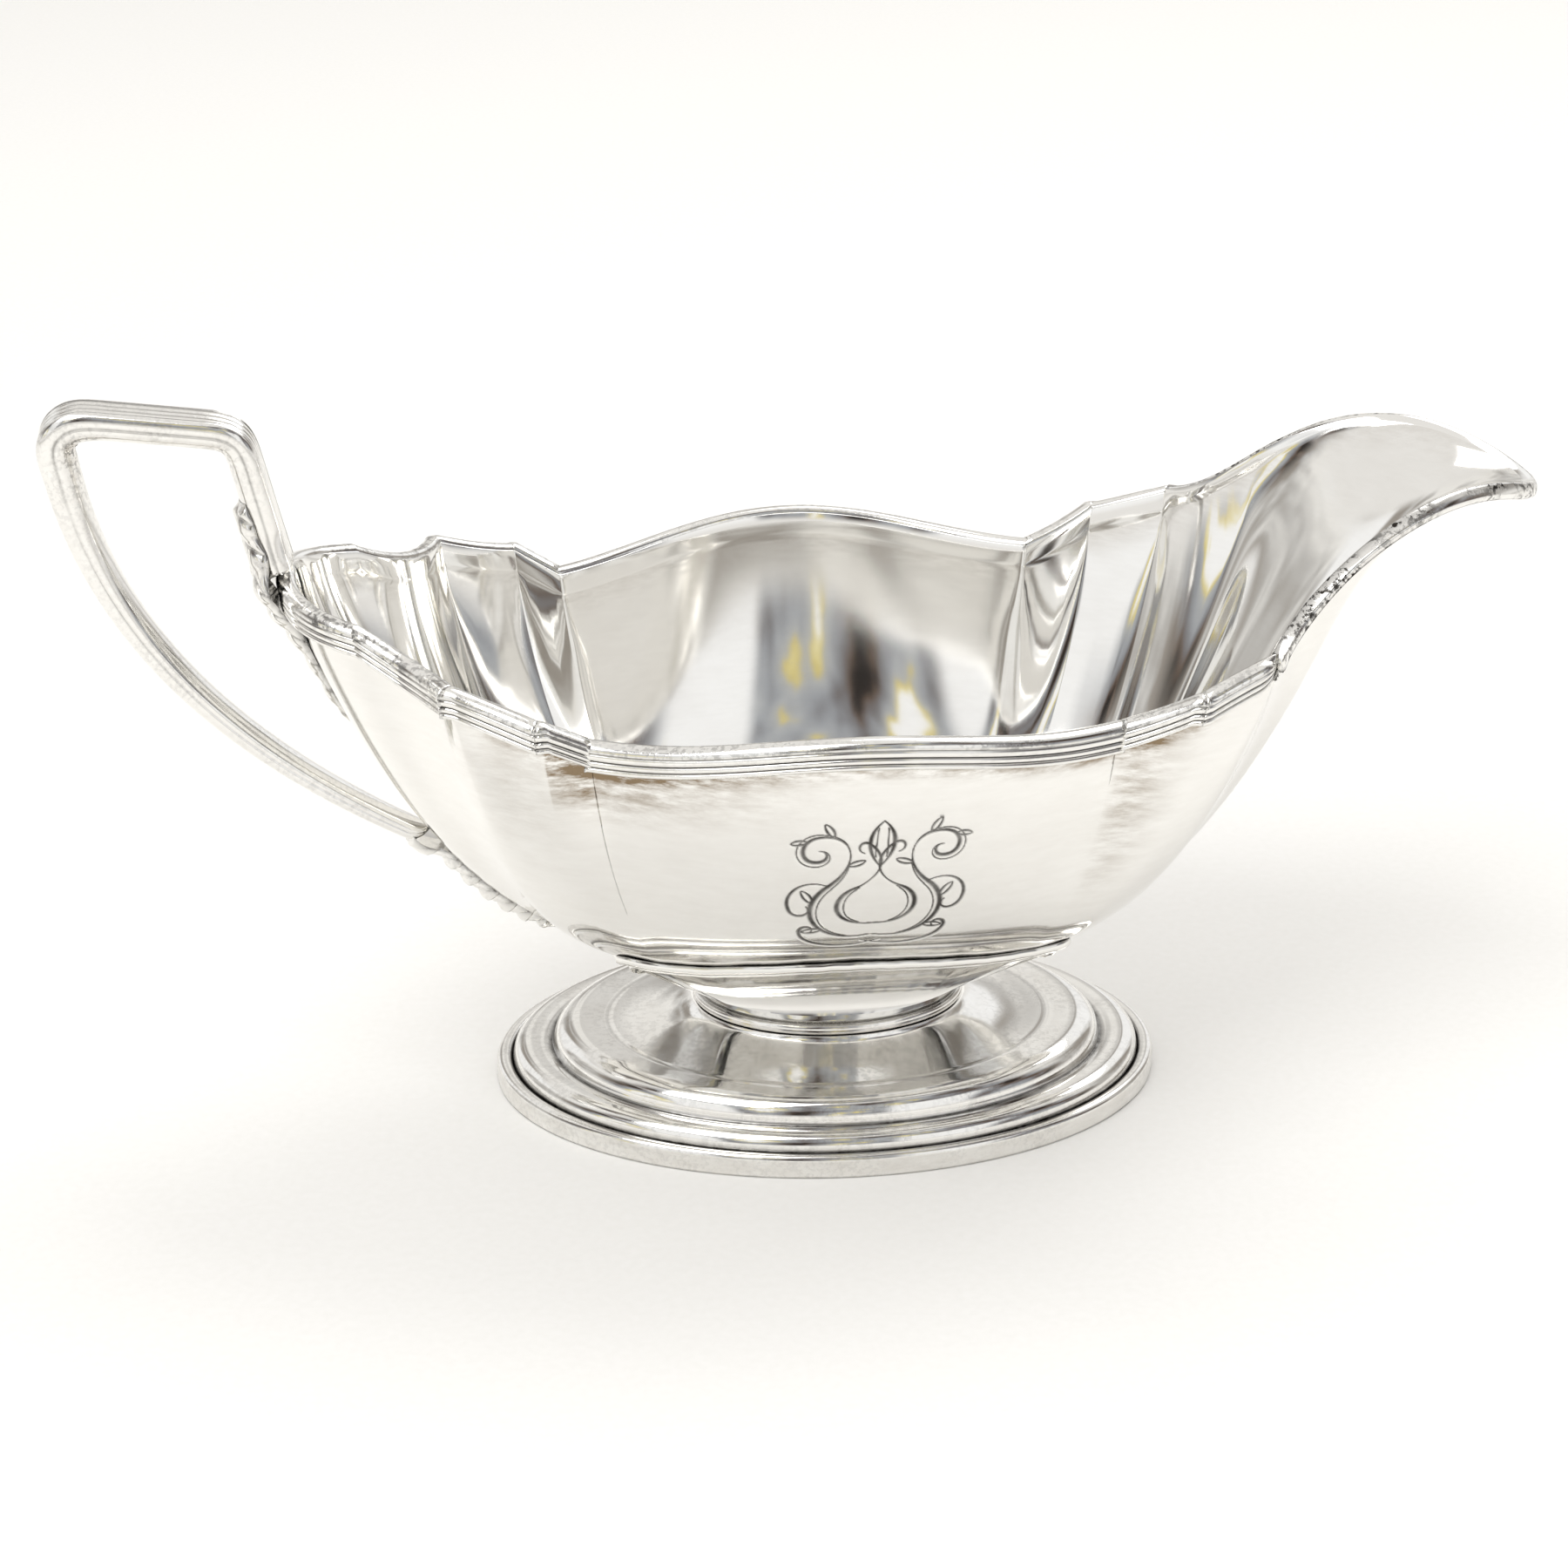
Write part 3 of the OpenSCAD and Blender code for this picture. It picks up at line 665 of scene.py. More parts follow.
    def stations(self, start: float, end: float, step_mm: float) -> Levels:
        """Lists stations along the edge, close together where it bends.

        Args:
            start: First station.
            end: Last station.
            step_mm: Largest step along the edge.

        Returns:
            Stations from start to end; each corner has one on it and two close to each side.
        """
        found: list[float] = []
        for panel in range(math.floor(start), math.ceil(end)):
            low, high = max(start, panel), min(end, panel + 1)
            fine = np.linspace(low, high, 200)
            length = arc_length(self.edge(fine))[-1]
            count = max(4, math.ceil(length / step_mm))
            inner = np.linspace(low, high, count + 1)[:-1]
            close = min(0.03, (high - low) / count / 3)
            found += [low, low + 0.011, low + close, *inner[1:], high - close, high - 0.011]
        return np.unique(np.round([*found, end], 6))


# ---------------------------------------------------------------- the engraving

@dataclass
class FoliateCartouche:
    """A generic engraved scroll ornament: two mirrored acanthus scrolls on a stem."""

    middle_t: float = -4.54
    middle_s: float = 0.58
    half_size: float = 12.5
    depth: float = 0.16
    heavy: float = 0.9           # width of the swelled part of a cut
    light: float = 0.2           # width of a cut's ends

    def strokes(self) -> list[tuple[Points, Levels]]:
        """Draws the cuts.

        Returns:
            For each cut, its points across and up, and its width at each point.
        """
        cuts = []
        for mirror in (-1, 1):
            for line, weight in self._half():
                beside = np.stack([-np.gradient(line[:, 1]), np.gradient(line[:, 0])], 1)
                swell = np.sin(np.linspace(0, math.pi, len(line))) ** 1.6
                cuts.append((line * [mirror, 1], self.light + weight * (self.heavy - self.light) * swell))
                if weight > 0.7:            # a swelled cut is shaded by a second, finer one
                    second = line + 0.85 * swell[:, None] * unit(beside)
                    cuts.append((second[4:-4] * [mirror, 1], np.full(len(line) - 8, self.light)))
        return cuts

    def _curve(self, *spans: Sequence[tuple[float, float]]) -> Points:
        """Joins cubic spans, each given by its four points, into one line."""
        steps = np.linspace(0, 1, 24)[:, None]
        return np.concatenate([bezier(*(np.array(p, float) for p in span), steps) for span in spans])

    def _half(self) -> list[tuple[Points, float]]:
        """Returns the cuts of one side of the ornament, each with its weight from 0 to 1."""
        scroll = self._curve(((0.3, -9.0), (7.0, -11.0), (11.0, -3.6), (6.4, 1.0)),
                             ((6.4, 1.0), (2.6, 4.8), (3.4, 9.9), (7.6, 9.5)),
                             ((7.6, 9.5), (10.8, 9.2), (10.6, 4.8), (7.9, 5.3)),
                             ((7.9, 5.3), (6.5, 5.6), (6.7, 7.3), (7.9, 7.2)))
        lyre = self._curve(((-0.6, -6.4), (5.4, -7.4), (6.6, -1.4), (3.0, 0.6)),
                           ((3.0, 0.6), (-0.6, 2.6), (-1.0, 6.0), (1.4, 8.2)),
                           ((1.4, 8.2), (2.8, 9.4), (3.6, 7.2), (2.2, 6.8)))
        tendril = self._curve(((6.4, 1.0), (9.6, 2.6), (12.4, -0.6), (11.0, -3.8)),
                              ((11.0, -3.8), (10.0, -5.8), (7.7, -4.4), (8.9, -2.9)))
        tail = self._curve(((-1.2, -10.2), (3.4, -12.4), (9.2, -11.4), (9.4, -8.2)),
                           ((9.4, -8.2), (9.2, -6.5), (7.2, -7.1), (7.9, -8.3)))
        crest = self._curve(((0.0, 4.4), (2.2, 7.4), (1.9, 10.2), (0.0, 12.0)))
        lines = [(scroll[:36], 1.0), (scroll[35:], 0.8), (lyre[:30], 0.9), (lyre[28:], 0.5),
                 (tendril, 0.6), (tail, 0.6), (crest, 0.8)]
        leaflets = ((9, 2.6, -1.1), (18, 2.8, -0.9), (31, 2.4, 1.0), (44, 2.6, 0.9), (54, 2.2, 0.8))
        for place, reach, turn in leaflets:
            root, ahead = scroll[place], unit(scroll[place + 2] - scroll[place])
            angle = math.atan2(ahead[1], ahead[0]) + turn
            tip = root + reach * np.array([math.cos(angle), math.sin(angle)])
            for bow in (0.24, -0.18):
                across = np.array([-(tip - root)[1], (tip - root)[0]])
                middle = (root + tip) / 2 + 2 * bow * across
                lines.append((self._curve((root, (root + middle) / 2, (tip + middle) / 2, tip))[::2], 0.35))
        return lines

    def cut_level(self, across: Levels, up: Levels) -> Levels:
        """Measures how deep each point lies in a cut.

        Args:
            across: Distance from the middle along the wall.
            up: Distance from the middle up the wall.

        Returns:
            0 outside the cuts, 1 at the bottom of one.
        """
        level = np.zeros(across.shape)
        for line, widths in self.strokes():
            for (a, b), width in zip(zip(line[:-1], line[1:]), (widths[:-1] + widths[1:]) / 2):
                low = np.minimum(a, b) - width
                high = np.maximum(a, b) + width
                near = (across > low[0]) & (across < high[0]) & (up > low[1]) & (up < high[1])
                if not near.any():
                    continue
                px, py = across[near] - a[0], up[near] - a[1]
                dx, dy = b - a
                u = np.clip((px * dx + py * dy) / max(dx * dx + dy * dy, 1e-9), 0, 1)
                gap = np.hypot(px - u * dx, py - u * dy)
                level[near] = np.maximum(level[near], np.clip(1 - gap / (width / 2 + 0.06), 0, 1))
        return level


# ---------------------------------------------------------------- sub-assemblies

@dataclass
class Bowl:
    """The raised sheet of the bowl and spout, with the engraving cut into its front."""

    form: BowlForm
    engraving: FoliateCartouche
    step: float = 1.5            # largest step of the mesh round the mouth
    fine_step: float = 0.14      # step where the engraving is
    rows: int = 54

    def build(self, maker: PieceMaker) -> None:
        """Builds the bowl as one closed sheet."""
        stations = self._stations()
        levels = self._levels()
        sheet = self.form.eased(stations[None, :], levels[:, None])
        normals = np.cross(np.gradient(sheet, levels, axis=0), np.gradient(sheet, stations, axis=1))
        on_axis = np.minimum(np.abs(stations), 9 - np.abs(stations)) < 0.02
        normals = unit(np.where(on_axis[None, :, None], normals * [1, 0, 1], normals))
        down = smooth_step(levels, 0.0, 0.03)[:, None, None]
        normals = unit(down * normals + (1 - down) * [0, 0, -1])
        cut = self._engrave(stations, levels)
        thick = self.form.wall - self.engraving.depth * cut
        outer = sheet + thick[..., None] * normals
        coarse = np.linspace(1, 0, self.rows)
        inner = self.form.eased(stations[None, :], coarse[:, None])
        rim_round = self._rim_round(stations)
        floor_out = self._floor(outer[0], 0.0)[::-1]
        floor_in = self._floor(inner[-1], 0.35)
        rows = np.concatenate([floor_out, outer, rim_round, inner, floor_in])
        count = len(stations)
        faces = grid_faces(len(rows), count, True)
        points = np.concatenate([rows.reshape(-1, 3), rows[[0, -1]].mean(axis=1)])
        hub_out, hub_in, last = len(points) - 2, len(points) - 1, (len(rows) - 1) * count
        faces += [(k, (k + 1) % count, hub_out) for k in range(count)]
        faces += [(last + k, last + (k + 1) % count, hub_in) for k in range(count)]
        tarnish = np.zeros(rows.shape[:-1])
        film = np.zeros(rows.shape[:-1])
        span = slice(len(floor_out), len(floor_out) + len(levels))
        shade, film_and_shading = self._shade_and_film(stations, levels)
        # shade is the painted shadow under the wire; the engraving's cuts hold real tarnish
        tarnish[span] = np.maximum(shade, 0.95 * np.clip(cut * 1.6, 0, 1))
        film[span] = film_and_shading
        inner_span = slice(span.stop + len(rim_round), span.stop + len(rim_round) + len(inner))
        film[inner_span] = 0.04 + 0.15 * smooth_step(coarse, 0.9, 1.0)[:, None]
        maker.add("bowl_sheet", points, faces, RAISED_SHEET, "silver_sheet", ["bowl"],
                  tarnish=np.append(tarnish.ravel(), [0, 0]), film=np.append(film.ravel(), [0, 0]))

    def _stations(self) -> Levels:
        """Returns stations all the way round, finer across the engraving."""
        half = self.form.stations(0, 9, self.step)
        fine = self._fine_stations()
        ring = np.concatenate([-half[::-1][:-1], half])
        ring = ring[(ring <= fine[0]) | (ring >= fine[-1])]
        return np.unique(np.concatenate([ring[1:], fine]))

    def _fine_stations(self) -> Levels:
        """Returns the stations across the engraving."""
        cut = self.engraving
        trial = np.linspace(-5, -4, 400)
        return self._even(trial, self.form.outside(trial, cut.middle_s), cut.middle_t)

    def _even(self, trial: Levels, line: Points, middle: float) -> Levels:
        """Finds the values at even steps across the engraving.

        Args:
            trial: Stations or levels along a line on the wall.
            line: The wall's points there.
            middle: The value at the engraving's middle.

        Returns:
            Values a fine step apart, out to the engraving's half size.
        """
        run, half = arc_length(line), self.engraving.half_size
        centre = np.interp(middle, trial, run)
        return np.interp(np.arange(centre - half, centre + half, self.fine_step), run, trial)

    def _levels(self) -> Levels:
        """Returns levels up the wall, finer across the engraving."""
        cut = self.engraving
        trial = np.linspace(0, 1, 400)
        fine = self._even(trial, self.form.outside(cut.middle_t, trial), cut.middle_s)
        plain = np.linspace(0, 1, self.rows)
        plain = plain[(plain < fine[0]) | (plain > fine[-1])]
        return np.unique(np.concatenate([plain, fine]))

    def _engrave(self, stations: Levels, levels: Levels) -> Levels:
        """Returns how deep the engraving cuts at each point of the outer face."""
        form, cut = self.form, self.engraving
        wall = form.outside(stations[None, :], levels[:, None])
        middle = form.outside(cut.middle_t, cut.middle_s)
        right = unit(form.outside(cut.middle_t - 0.05, cut.middle_s)
                     - form.outside(cut.middle_t + 0.05, cut.middle_s))
        up = unit(form.outside(cut.middle_t, cut.middle_s + 0.05)
                  - form.outside(cut.middle_t, cut.middle_s - 0.05))
        away = wall - middle
        region = (np.abs(stations - cut.middle_t) < 0.45)[None, :] & np.ones((len(levels), 1), bool)
        level = np.zeros(region.shape)
        level[region] = cut.cut_level((away @ right)[region], (away @ up)[region])
        return level

    def _rim_round(self, stations: Levels) -> Points:
        """Returns the rows of the sheet's top edge: under the wire, then thin up its inner side."""
        form = self.form
        base, out, up = form.inside(stations, 1.0), form.rim_offset(stations), form.wall_run(stations)
        high = (form.wire_depth(stations) - np.where(np.abs(stations) > 7, 0.45, 0.9))[:, None]
        lift = ((0.75, 0.0), (0.05, 0.0), (-0.004, 0.02), (-0.004, 0.5), (-0.004, 0.97), (-0.02, 1.0),
                (-0.04, 0.97), (-0.045, 0.6), (-0.04, 0.2), (-0.02, 0.05))
        return np.stack([base + width * out + share * high * up for width, share in lift])

    def _floor(self, edge: Points, dish: float) -> Points:
        """Returns rings that close the floor, dished by a given depth."""
        middle = edge.mean(axis=0)
        shares = np.linspace(0.92, 0.08, 12)
        return np.stack([middle + (edge - middle) * k - [0, 0, dish * (1 - k * k)] for k in shares])

    def _shade_and_film(self, stations: Levels, levels: Levels) -> tuple[Levels, Levels]:
        """Returns the outer face's painted shadow under the wire, kept as thick tarnish, and its film:
        tarnish film below the wire, a broad band of painted shading past the fifth corner, and a faint brown
        patch before the third.
        """
        t, s = np.broadcast_arrays(stations[None, :], levels[:, None])
        # painted shadow: a dark line on the wall just under the rim wire, kept as thick tarnish
        wire_shadow = smooth_step(s, 0.985, 1.0) * (np.abs(t) < 7)
        side = np.abs(t)
        start = smooth_step(side, 3.0, 3.03) * (1 - smooth_step(side, 3.7, 4.55))
        ledge = smooth_step(side, 2.0, 3.0) * (1 - smooth_step(side, 5.9, 6.6)) * smooth_step(s, 0.93, 0.985)
        # painted shading: a broad warm band on the panel past the fifth corner, kept as film
        cloud = bump_at(side, 5.35, 0.9) * smooth_step(side, 4.95, 5.1) * smooth_step(s, 0.35, 0.9)
        film_and_shading = 1.5 * start * smooth_step(s, 0.76, 0.97) + 1.0 * ledge + 0.6 * cloud
        film_and_shading = film_and_shading + 0.22 * bump_at(side, 2.6, 1.2) * smooth_step(s, 0.5, 0.95) + 0.05
        return 0.8 * wire_shadow, np.where(side > 7, 0.04, film_and_shading)


class WireSpan(Enum):
    """The stretches of the rim's wire between mitred corners: first and last station, mottling."""

    HEEL = (0, 2, 0.75)
    CORNER = (2, 3, 0.45)
    SIDE = (3, 6, 0.35)
    SHOULDER = (6, 7, 0.3)


@dataclass
class RimWires:
    """The reeded wires soldered along the top of the sheet, and the lip wire round the spout."""

    form: BowlForm
    width: float = 2.7
    reeds: int = 3
    reed_share: float = 0.7      # share of the wire's height that the reeds take
    groove: float = 0.5
    lip_width: float = 1.9
    film: float = 0.05
    joint: float = 0.008         # the mitres are soldered and filed flush
    tongue: float = 3.2          # length over which the shoulder's free end narrows to a tongue

    def build(self, maker: PieceMaker) -> None:
        """Builds the eight reeded wires and the lip wire."""
        for span in WireSpan:
            for side, name in ((-1, "front"), (1, "back")):
                self._reeded(maker, span, side, f"{span.name.lower()}_wire_{name}")
        self._lip(maker)

    def _reed_section(self) -> tuple[Points, Levels, Levels]:
        """Draws the reeded wire's section.

        Returns:
            Height and width of each point of the closed section; its tarnish; its mottling.
        """
        high, zone = self.form.wire_height, self.form.wire_height * self.reed_share
        shares = (0.3, 0.32, 0.38)
        points: list[tuple[float, float]] = [(self.film, 0.0), (self.film, 1.0),
                                             (self.film, self.width - 0.9)]
        tarnish, mottle = [0.2, 0.6, 0.8], [0.0, 0.0, 0.0]
        low = self.film
        for k, share in enumerate(shares[:self.reeds]):
            top = low + zone * share
            for u in np.linspace(0.0, 1.0, 9):
                bulge = math.sqrt(max(0.0, 1 - (2 * u - 1) ** 2))
                points.append((low + (top - low) * u,
                               self.width - self.groove + (self.groove - 0.05 * k) * bulge))
                tarnish.append(max(0.0, 1.05 - 1.9 * bulge))
                mottle.append(0.25)
            low = top
        for u in np.linspace(0.1, 1.0, 12):
            angle = math.pi / 2 * u
            points.append((low + (high - low) * math.sin(angle),
                           self.width - 0.12 - 1.35 * (1 - math.cos(angle))))
            tarnish.append(max(0.0, 0.9 - 5.0 * u))
            mottle.append(1.0)
        for width, drop in ((0.9, 0.03), (0.55, 0.12), (0.25, 0.35), (0.04, 0.7), (0.0, 1.2), (0.0, 2.4)):
            points.append((high - drop, width))
            tarnish.append(0.0)
            mottle.append(0.6)
        return np.array(points), np.array(tarnish), np.array(mottle)

    def _reeded(self, maker: PieceMaker, span: WireSpan, side: int, name: str) -> None:
        """Builds one reeded wire."""
        start, end, mottling = span.value
        stations = self.form.stations(start, end, 1.2)
        gap = self.joint / 2 / np.linalg.norm(self.form.edge(start + 0.01) - self.form.edge(start)) * 0.01
        stations[0] += gap
        stations[-1] -= gap
        if span is WireSpan.SHOULDER:
            tail = np.linspace(0, 1, 16)
            reach = self.tongue / np.linalg.norm(self.form.edge(7.0) - self.form.edge(6.9)) * 0.1
            stations = np.unique(np.concatenate([stations[stations < 7 - reach],
                                                 7 - gap - reach * (1 - tail)]))
        section, tarnish, mottle = self._reed_section()
        t = side * stations
        base = self.form.edge(t) - self.form.wire_height * self.form.wall_run(t)
        height = np.broadcast_to(section[:, 0], (len(t), len(section))).copy()
        width = np.broadcast_to(section[:, 1], (len(t), len(section))).copy()
        if span is WireSpan.SHOULDER:
            left = np.clip((7 - stations) / reach, 0, 1)
            full = np.sqrt(np.clip(1 - (1 - left) ** 2, 0, 1))[:, None]
            proud = smooth_step(width, 0.95, 1.3)
            middle = 2.3
            height = height + proud * (middle - height) * (1 - full) * 0.85
            width = width + proud * (1.05 - width) * (1 - full)
        rows = (base[:, None] + height[..., None] * self.form.wall_run(t)[:, None]
                + width[..., None] * self.form.rim_offset(t)[:, None])
        self._add_rod(maker, name, rows, [name], np.broadcast_to(tarnish, height.shape),
                      np.broadcast_to(mottle * mottling, height.shape))

    def _lip(self, maker: PieceMaker) -> None:
        """Builds the lip wire: a flat rounded top over two fine lines."""
        form = self.form
        half = form.stations(7, 9, 0.9)
        half[0] += 0.004
        stations = np.concatenate([half[:-1], [9.0], -half[:-1][::-1]])
        outline = [(0.03, 0.0, 0.0, 0.0), (0.03, 0.9, 0.3, 0.0), (0.03, 1.25, 0.5, 0.0)]
        for k, low in enumerate((0.06, 0.23)):
            for u in np.linspace(0, 1, 7):
                bulge = math.sqrt(max(0.0, 1 - (2 * u - 1) ** 2))
                outline.append((low + 0.17 * u, 1.45 + 0.1 * k + 0.2 * bulge,
                                max(0.0, 1.05 - 1.7 * bulge), 0.1))
        for u in np.linspace(0.0, 1.0, 8):
            angle = math.pi * 0.5 * u
            outline.append((0.45 + 0.55 * math.sin(angle),
                            self.lip_width + 0.25 - 0.55 * (1 - math.cos(angle)),
                            max(0.0, 0.95 - 4 * u), 1.0))
        outline += [(1.03, 1.3, 0.0, 1.0), (1.04, 1.0, 0.1, 1.0), (1.03, 0.7, 0.25, 1.0),
                    (1.0, 0.35, 0.3, 1.0), (0.94, 0.1, 0.1, 1.0), (0.8, 0.0, 0.0, 0.3), (0.4, 0.0, 0.0, 0.0)]
        section = np.array(outline)
        depth = form.wire_depth(stations)
        base = form.edge(stations) - depth[:, None] * form.wall_run(stations)
        rows = (base[:, None] + (section[:, 0] * depth[:, None])[..., None] * form.wall_run(stations)[:, None]
                + section[:, 1][None, :, None] * form.rim_offset(stations)[:, None])
        shape = rows.shape[:-1]
        self._add_rod(maker, "lip_wire", rows, ["lip_wire"], np.broadcast_to(section[:, 2], shape),
                      np.broadcast_to(section[:, 3], shape) * 0.95)

    def _add_rod(self, maker: PieceMaker, name: str, rows: Points, nodes: Sequence[str],
                 tarnish: Levels, mottle: Levels) -> None:
        """Adds a closed rod from its sections, with capped ends."""
        count = rows.shape[1]
        faces: list[Sequence[int]] = list(grid_faces(len(rows), count, True))
        hubs = rows[[0, -1]].mean(axis=1)
        total, last = rows.shape[0] * count, (len(rows) - 1) * count
        faces += [(k, (k + 1) % count, total) for k in range(count)]
        faces += [(last + k, last + (k + 1) % count, total + 1) for k in range(count)]
        maker.add(name, np.concatenate([rows.reshape(-1, 3), hubs]), faces, DRAWN_WIRE, "silver_wire", nodes,
                  tarnish=np.append(tarnish.ravel(), [0.0, 0.0]), mottle=np.append(mottle.ravel(), [0, 0]),
                  film=np.full(total + 2, 0.06))


@dataclass
class Handle:
    """The cast strap: three fine reeds on its outer face, rounded inside, with two hard corners."""

    form: BowlForm
    out: float = 32.0
    up: float = 22.6
    grip_width: float = 7.0
    tail_width: float = 5.0
    leg_thick: float = 4.2
    corner_thick: float = 5.0
    tail_thick: float = 2.4
    corner_radius: float = 5.4
    tail_level: float = 0.38
    reeds: int = 3
    reed_depth: float = 0.32
    tail_round: float = 3.0      # length over which the tail thins to a rounded end
    lap: float = 2.2             # how far the leg laps down over the rim's wire

    @property
    def tail(self) -> Points:
        """X and Z where the strap's outer face ends, a sheet's thickness off the keel."""
        return self.form.outside(0.0, self.tail_level, 0.05 + self.tail_thick)[[0, 2]]

    def path(self) -> Points:
        """Traces the outer face in the XZ plane.

        Returns:
            X and Z of each station, from the rim over both corners to the tail.
        """
        heel, top = self.form.heel_reach, self.form.rim_height + self.form.heel_rise
        root = np.array([-heel, top + 0.05])
        inner = np.array([-heel - 0.15 * self.out, top + 0.86 * self.up])
        outer = np.array([-heel - self.out, top + self.up])
        start = outer + np.array([0.012, -0.2]) * self.out
        pull = outer + np.array([0.05, -0.95]) * self.out
        tail_pull = self.tail + np.array([-0.8, 0.4]) * self.out
        arm = bezier(outer, pull, tail_pull, self.tail, np.linspace(0.125, 1, 90)[:, None])
        first, second = self._bend(root, inner, outer), self._bend(inner, outer, start)
        rough = np.concatenate([np.linspace(root, first[0], 30)[:-1], first,
                                np.linspace(first[-1], second[0], 24)[1:-1], second, arm])
        run = arc_length(rough)
        even = np.arange(0, run[-1], 0.4)
        line = np.stack([np.interp(even, run, rough[:, k]) for k in (0, 1)], 1)
        relax(line, 24)
        return np.concatenate([line, self.tail[None]])

    def _bend(self, before: Points, corner: Points, after: Points) -> Points:
        """Returns the arc that rounds a corner."""
        p, q = unit(before - corner), unit(after - corner)
        half = math.acos(float(p @ q)) / 2
        middle = corner + unit(p + q) * self.corner_radius / math.sin(half)
        start = corner + p * self.corner_radius / math.tan(half) - middle
        angles = np.linspace(0, math.pi - 2 * half, 14)
        return np.stack([middle + [start[0] * math.cos(a) - start[1] * math.sin(a),
                                   start[0] * math.sin(a) + start[1] * math.cos(a)] for a in angles])

    def section(self) -> tuple[Points, Levels, Levels]:
        """Draws the strap's section on a unit width and thickness.

        Returns:
            Across (-1 to 1) and depth (0 outer face to 1 inner) of each point; how far its reed's
            groove goes in; its tarnish.
        """
        points: list[tuple[float, float]] = []
        groove, tarnish = [], []
        for k in range(self.reeds):
            for u in np.linspace(0, 1, 9)[:-1]:
                bulge = math.sqrt(max(0.0, 1 - (2 * u - 1) ** 2))
                points.append((-0.66 + 1.32 * (k + u) / self.reeds, 0.0))
                groove.append(1 - bulge)
                tarnish.append(max(0.0, 1.0 - 1.9 * bulge))
        points.append((0.66, 0.0))
        groove.append(1.0)
        tarnish.append(0.9)
        side = [(0.67 + 0.33 * math.sin(a), 0.3 - 0.3 * math.cos(a))
                for a in np.linspace(0.15, math.pi / 2, 9)]
        side += [(1.0, 0.34), (0.992, 0.39), (0.968, 0.43), (0.948, 0.46), (0.955, 0.5)]
        dark = [0.0] * 10 + [0.05, 0.35, 0.5, 0.15]
        around = [(0.965 * math.cos(a), 0.53 + 0.47 * math.sin(a)) for a in np.linspace(0, math.pi, 26)]
        points += side + around + [(-x, y) for x, y in side[::-1]]
        tarnish += dark + [0.0] * len(around) + dark[::-1]
        groove += [0.0] * (len(points) - len(groove))
        return np.array(points), np.array(groove), np.array(tarnish)

    @cached_property
    def measures(self) -> tuple[Points, Points, Levels, Levels, Levels, Levels]:
        """Measures the strap along its path.

        Returns:
            For each station: outer face in XZ, direction to the inner side, distance along the
            strap, thickness, width, and share along the long arm.
        """
        path = self.path()
        run = arc_length(path)
        tangent = unit(np.gradient(path, run, axis=0))
        inward = np.stack([-tangent[:, 1], tangent[:, 0]], 1)
        corner = self._corner_at(path, run)
        arm = np.clip((run - corner) / (run[-1] - corner), 0, 1)
        thick = np.where(run < corner, self.leg_thick + (self.corner_thick - self.leg_thick)
                         * smooth_step(run, corner - 9, corner),
                         self.corner_thick + (self.tail_thick - self.corner_thick) * arm**0.8)
        width = self.grip_width + (self.tail_width - self.grip_width) * arm
        # the leg spreads where it stands on the rim
        return path, inward, run, thick, width + 1.3 * (1 - smooth_step(run, 0, 6)), arm

    def _corner_at(self, path: Points, run: Levels) -> float:
        """Returns the distance along the strap at which its outer corner lies."""
        return run[np.argmin(path[:, 0] - path[:, 1])]

    def skin(self, climb: float, x: Levels, lift: float = 0.0) -> tuple[Points, Points]:
        """Finds places on the leg's rounded inner side.

        Args:
            climb: Distance up the leg from the rim.
            x: Shares round it, -1 to 1, 0 in the middle.
            lift: Distance off the surface.

        Returns:
            The points, and the outward direction at each.
        """
        path, inward, run, thick, width, _ = self.measures
        spot = np.array([np.interp(climb, run, path[:, 0]), np.interp(climb, run, path[:, 1])])
        way = np.array([np.interp(climb, run, inward[:, 0]), np.interp(climb, run, inward[:, 1])])
        deep, wide = np.interp(climb, run, thick), np.interp(climb, run, width)
        angle = math.pi / 2 * (1 - x)
        depth, across = (0.5 + 0.5 * np.sin(angle)) * deep, 0.5 * wide * np.cos(angle)
        point = np.stack([spot[0] + way[0] * depth, across, spot[1] + way[1] * depth], -1)
        normal = np.stack([way[0] * np.sin(angle), np.cos(angle), way[1] * np.sin(angle)], -1)
        return point + lift * normal, normal

    def build(self, maker: PieceMaker) -> None:
        """Builds the strap."""
        path, inward, run, thick, width, arm = self.measures
        section, groove, tarnish = self.section()
        corner = self._corner_at(path, run)
        fade = 1 - 0.8 * smooth_step(arm, 0.02, 0.2)
        depth = (section[None, :, 1] * thick[:, None]
                 + self.reed_depth * groove[None, :] * fade[:, None])
        left = np.clip((run[-1] - run) / self.tail_round, 0, 1)
        full = np.sqrt(1 - 0.96 * (1 - left) ** 2)[:, None]
        depth = thick[:, None] - (thick[:, None] - depth) * full
        place = path[:, None] + depth[..., None] * inward[:, None]
        lap = self.lap * smooth_step(depth, 2.75, 3.6) * (1 - smooth_step(run, 0, 5))[:, None]
        rows = np.stack([place[..., 0], 0.5 * (width[:, None] * full) * section[None, :, 0],
                         place[..., 1] - lap], -1)
        count = len(section)
        faces: list[Sequence[int]] = list(grid_faces(len(rows), count, True))
        faces += [tuple(range(count)), tuple((len(rows) - 1) * count + k for k in range(count))]
        inner_side = smooth_step(section[:, 1], 0.5, 1.0)
        pits = inner_side[None, :] * (bump_at(run, corner, 16) + bump_at(run, run[0] + 24, 13))[:, None]
        mottle = np.clip(0.8 * pits, 0, 1) + 0.12
        maker.add("handle_strap", rows, faces, CAST_SILVER, "silver_casting", ["handle"],
                  tarnish=tarnish[None, :] * fade[:, None], mottle=mottle,
                  film=0.06 + 0.5 * pits)


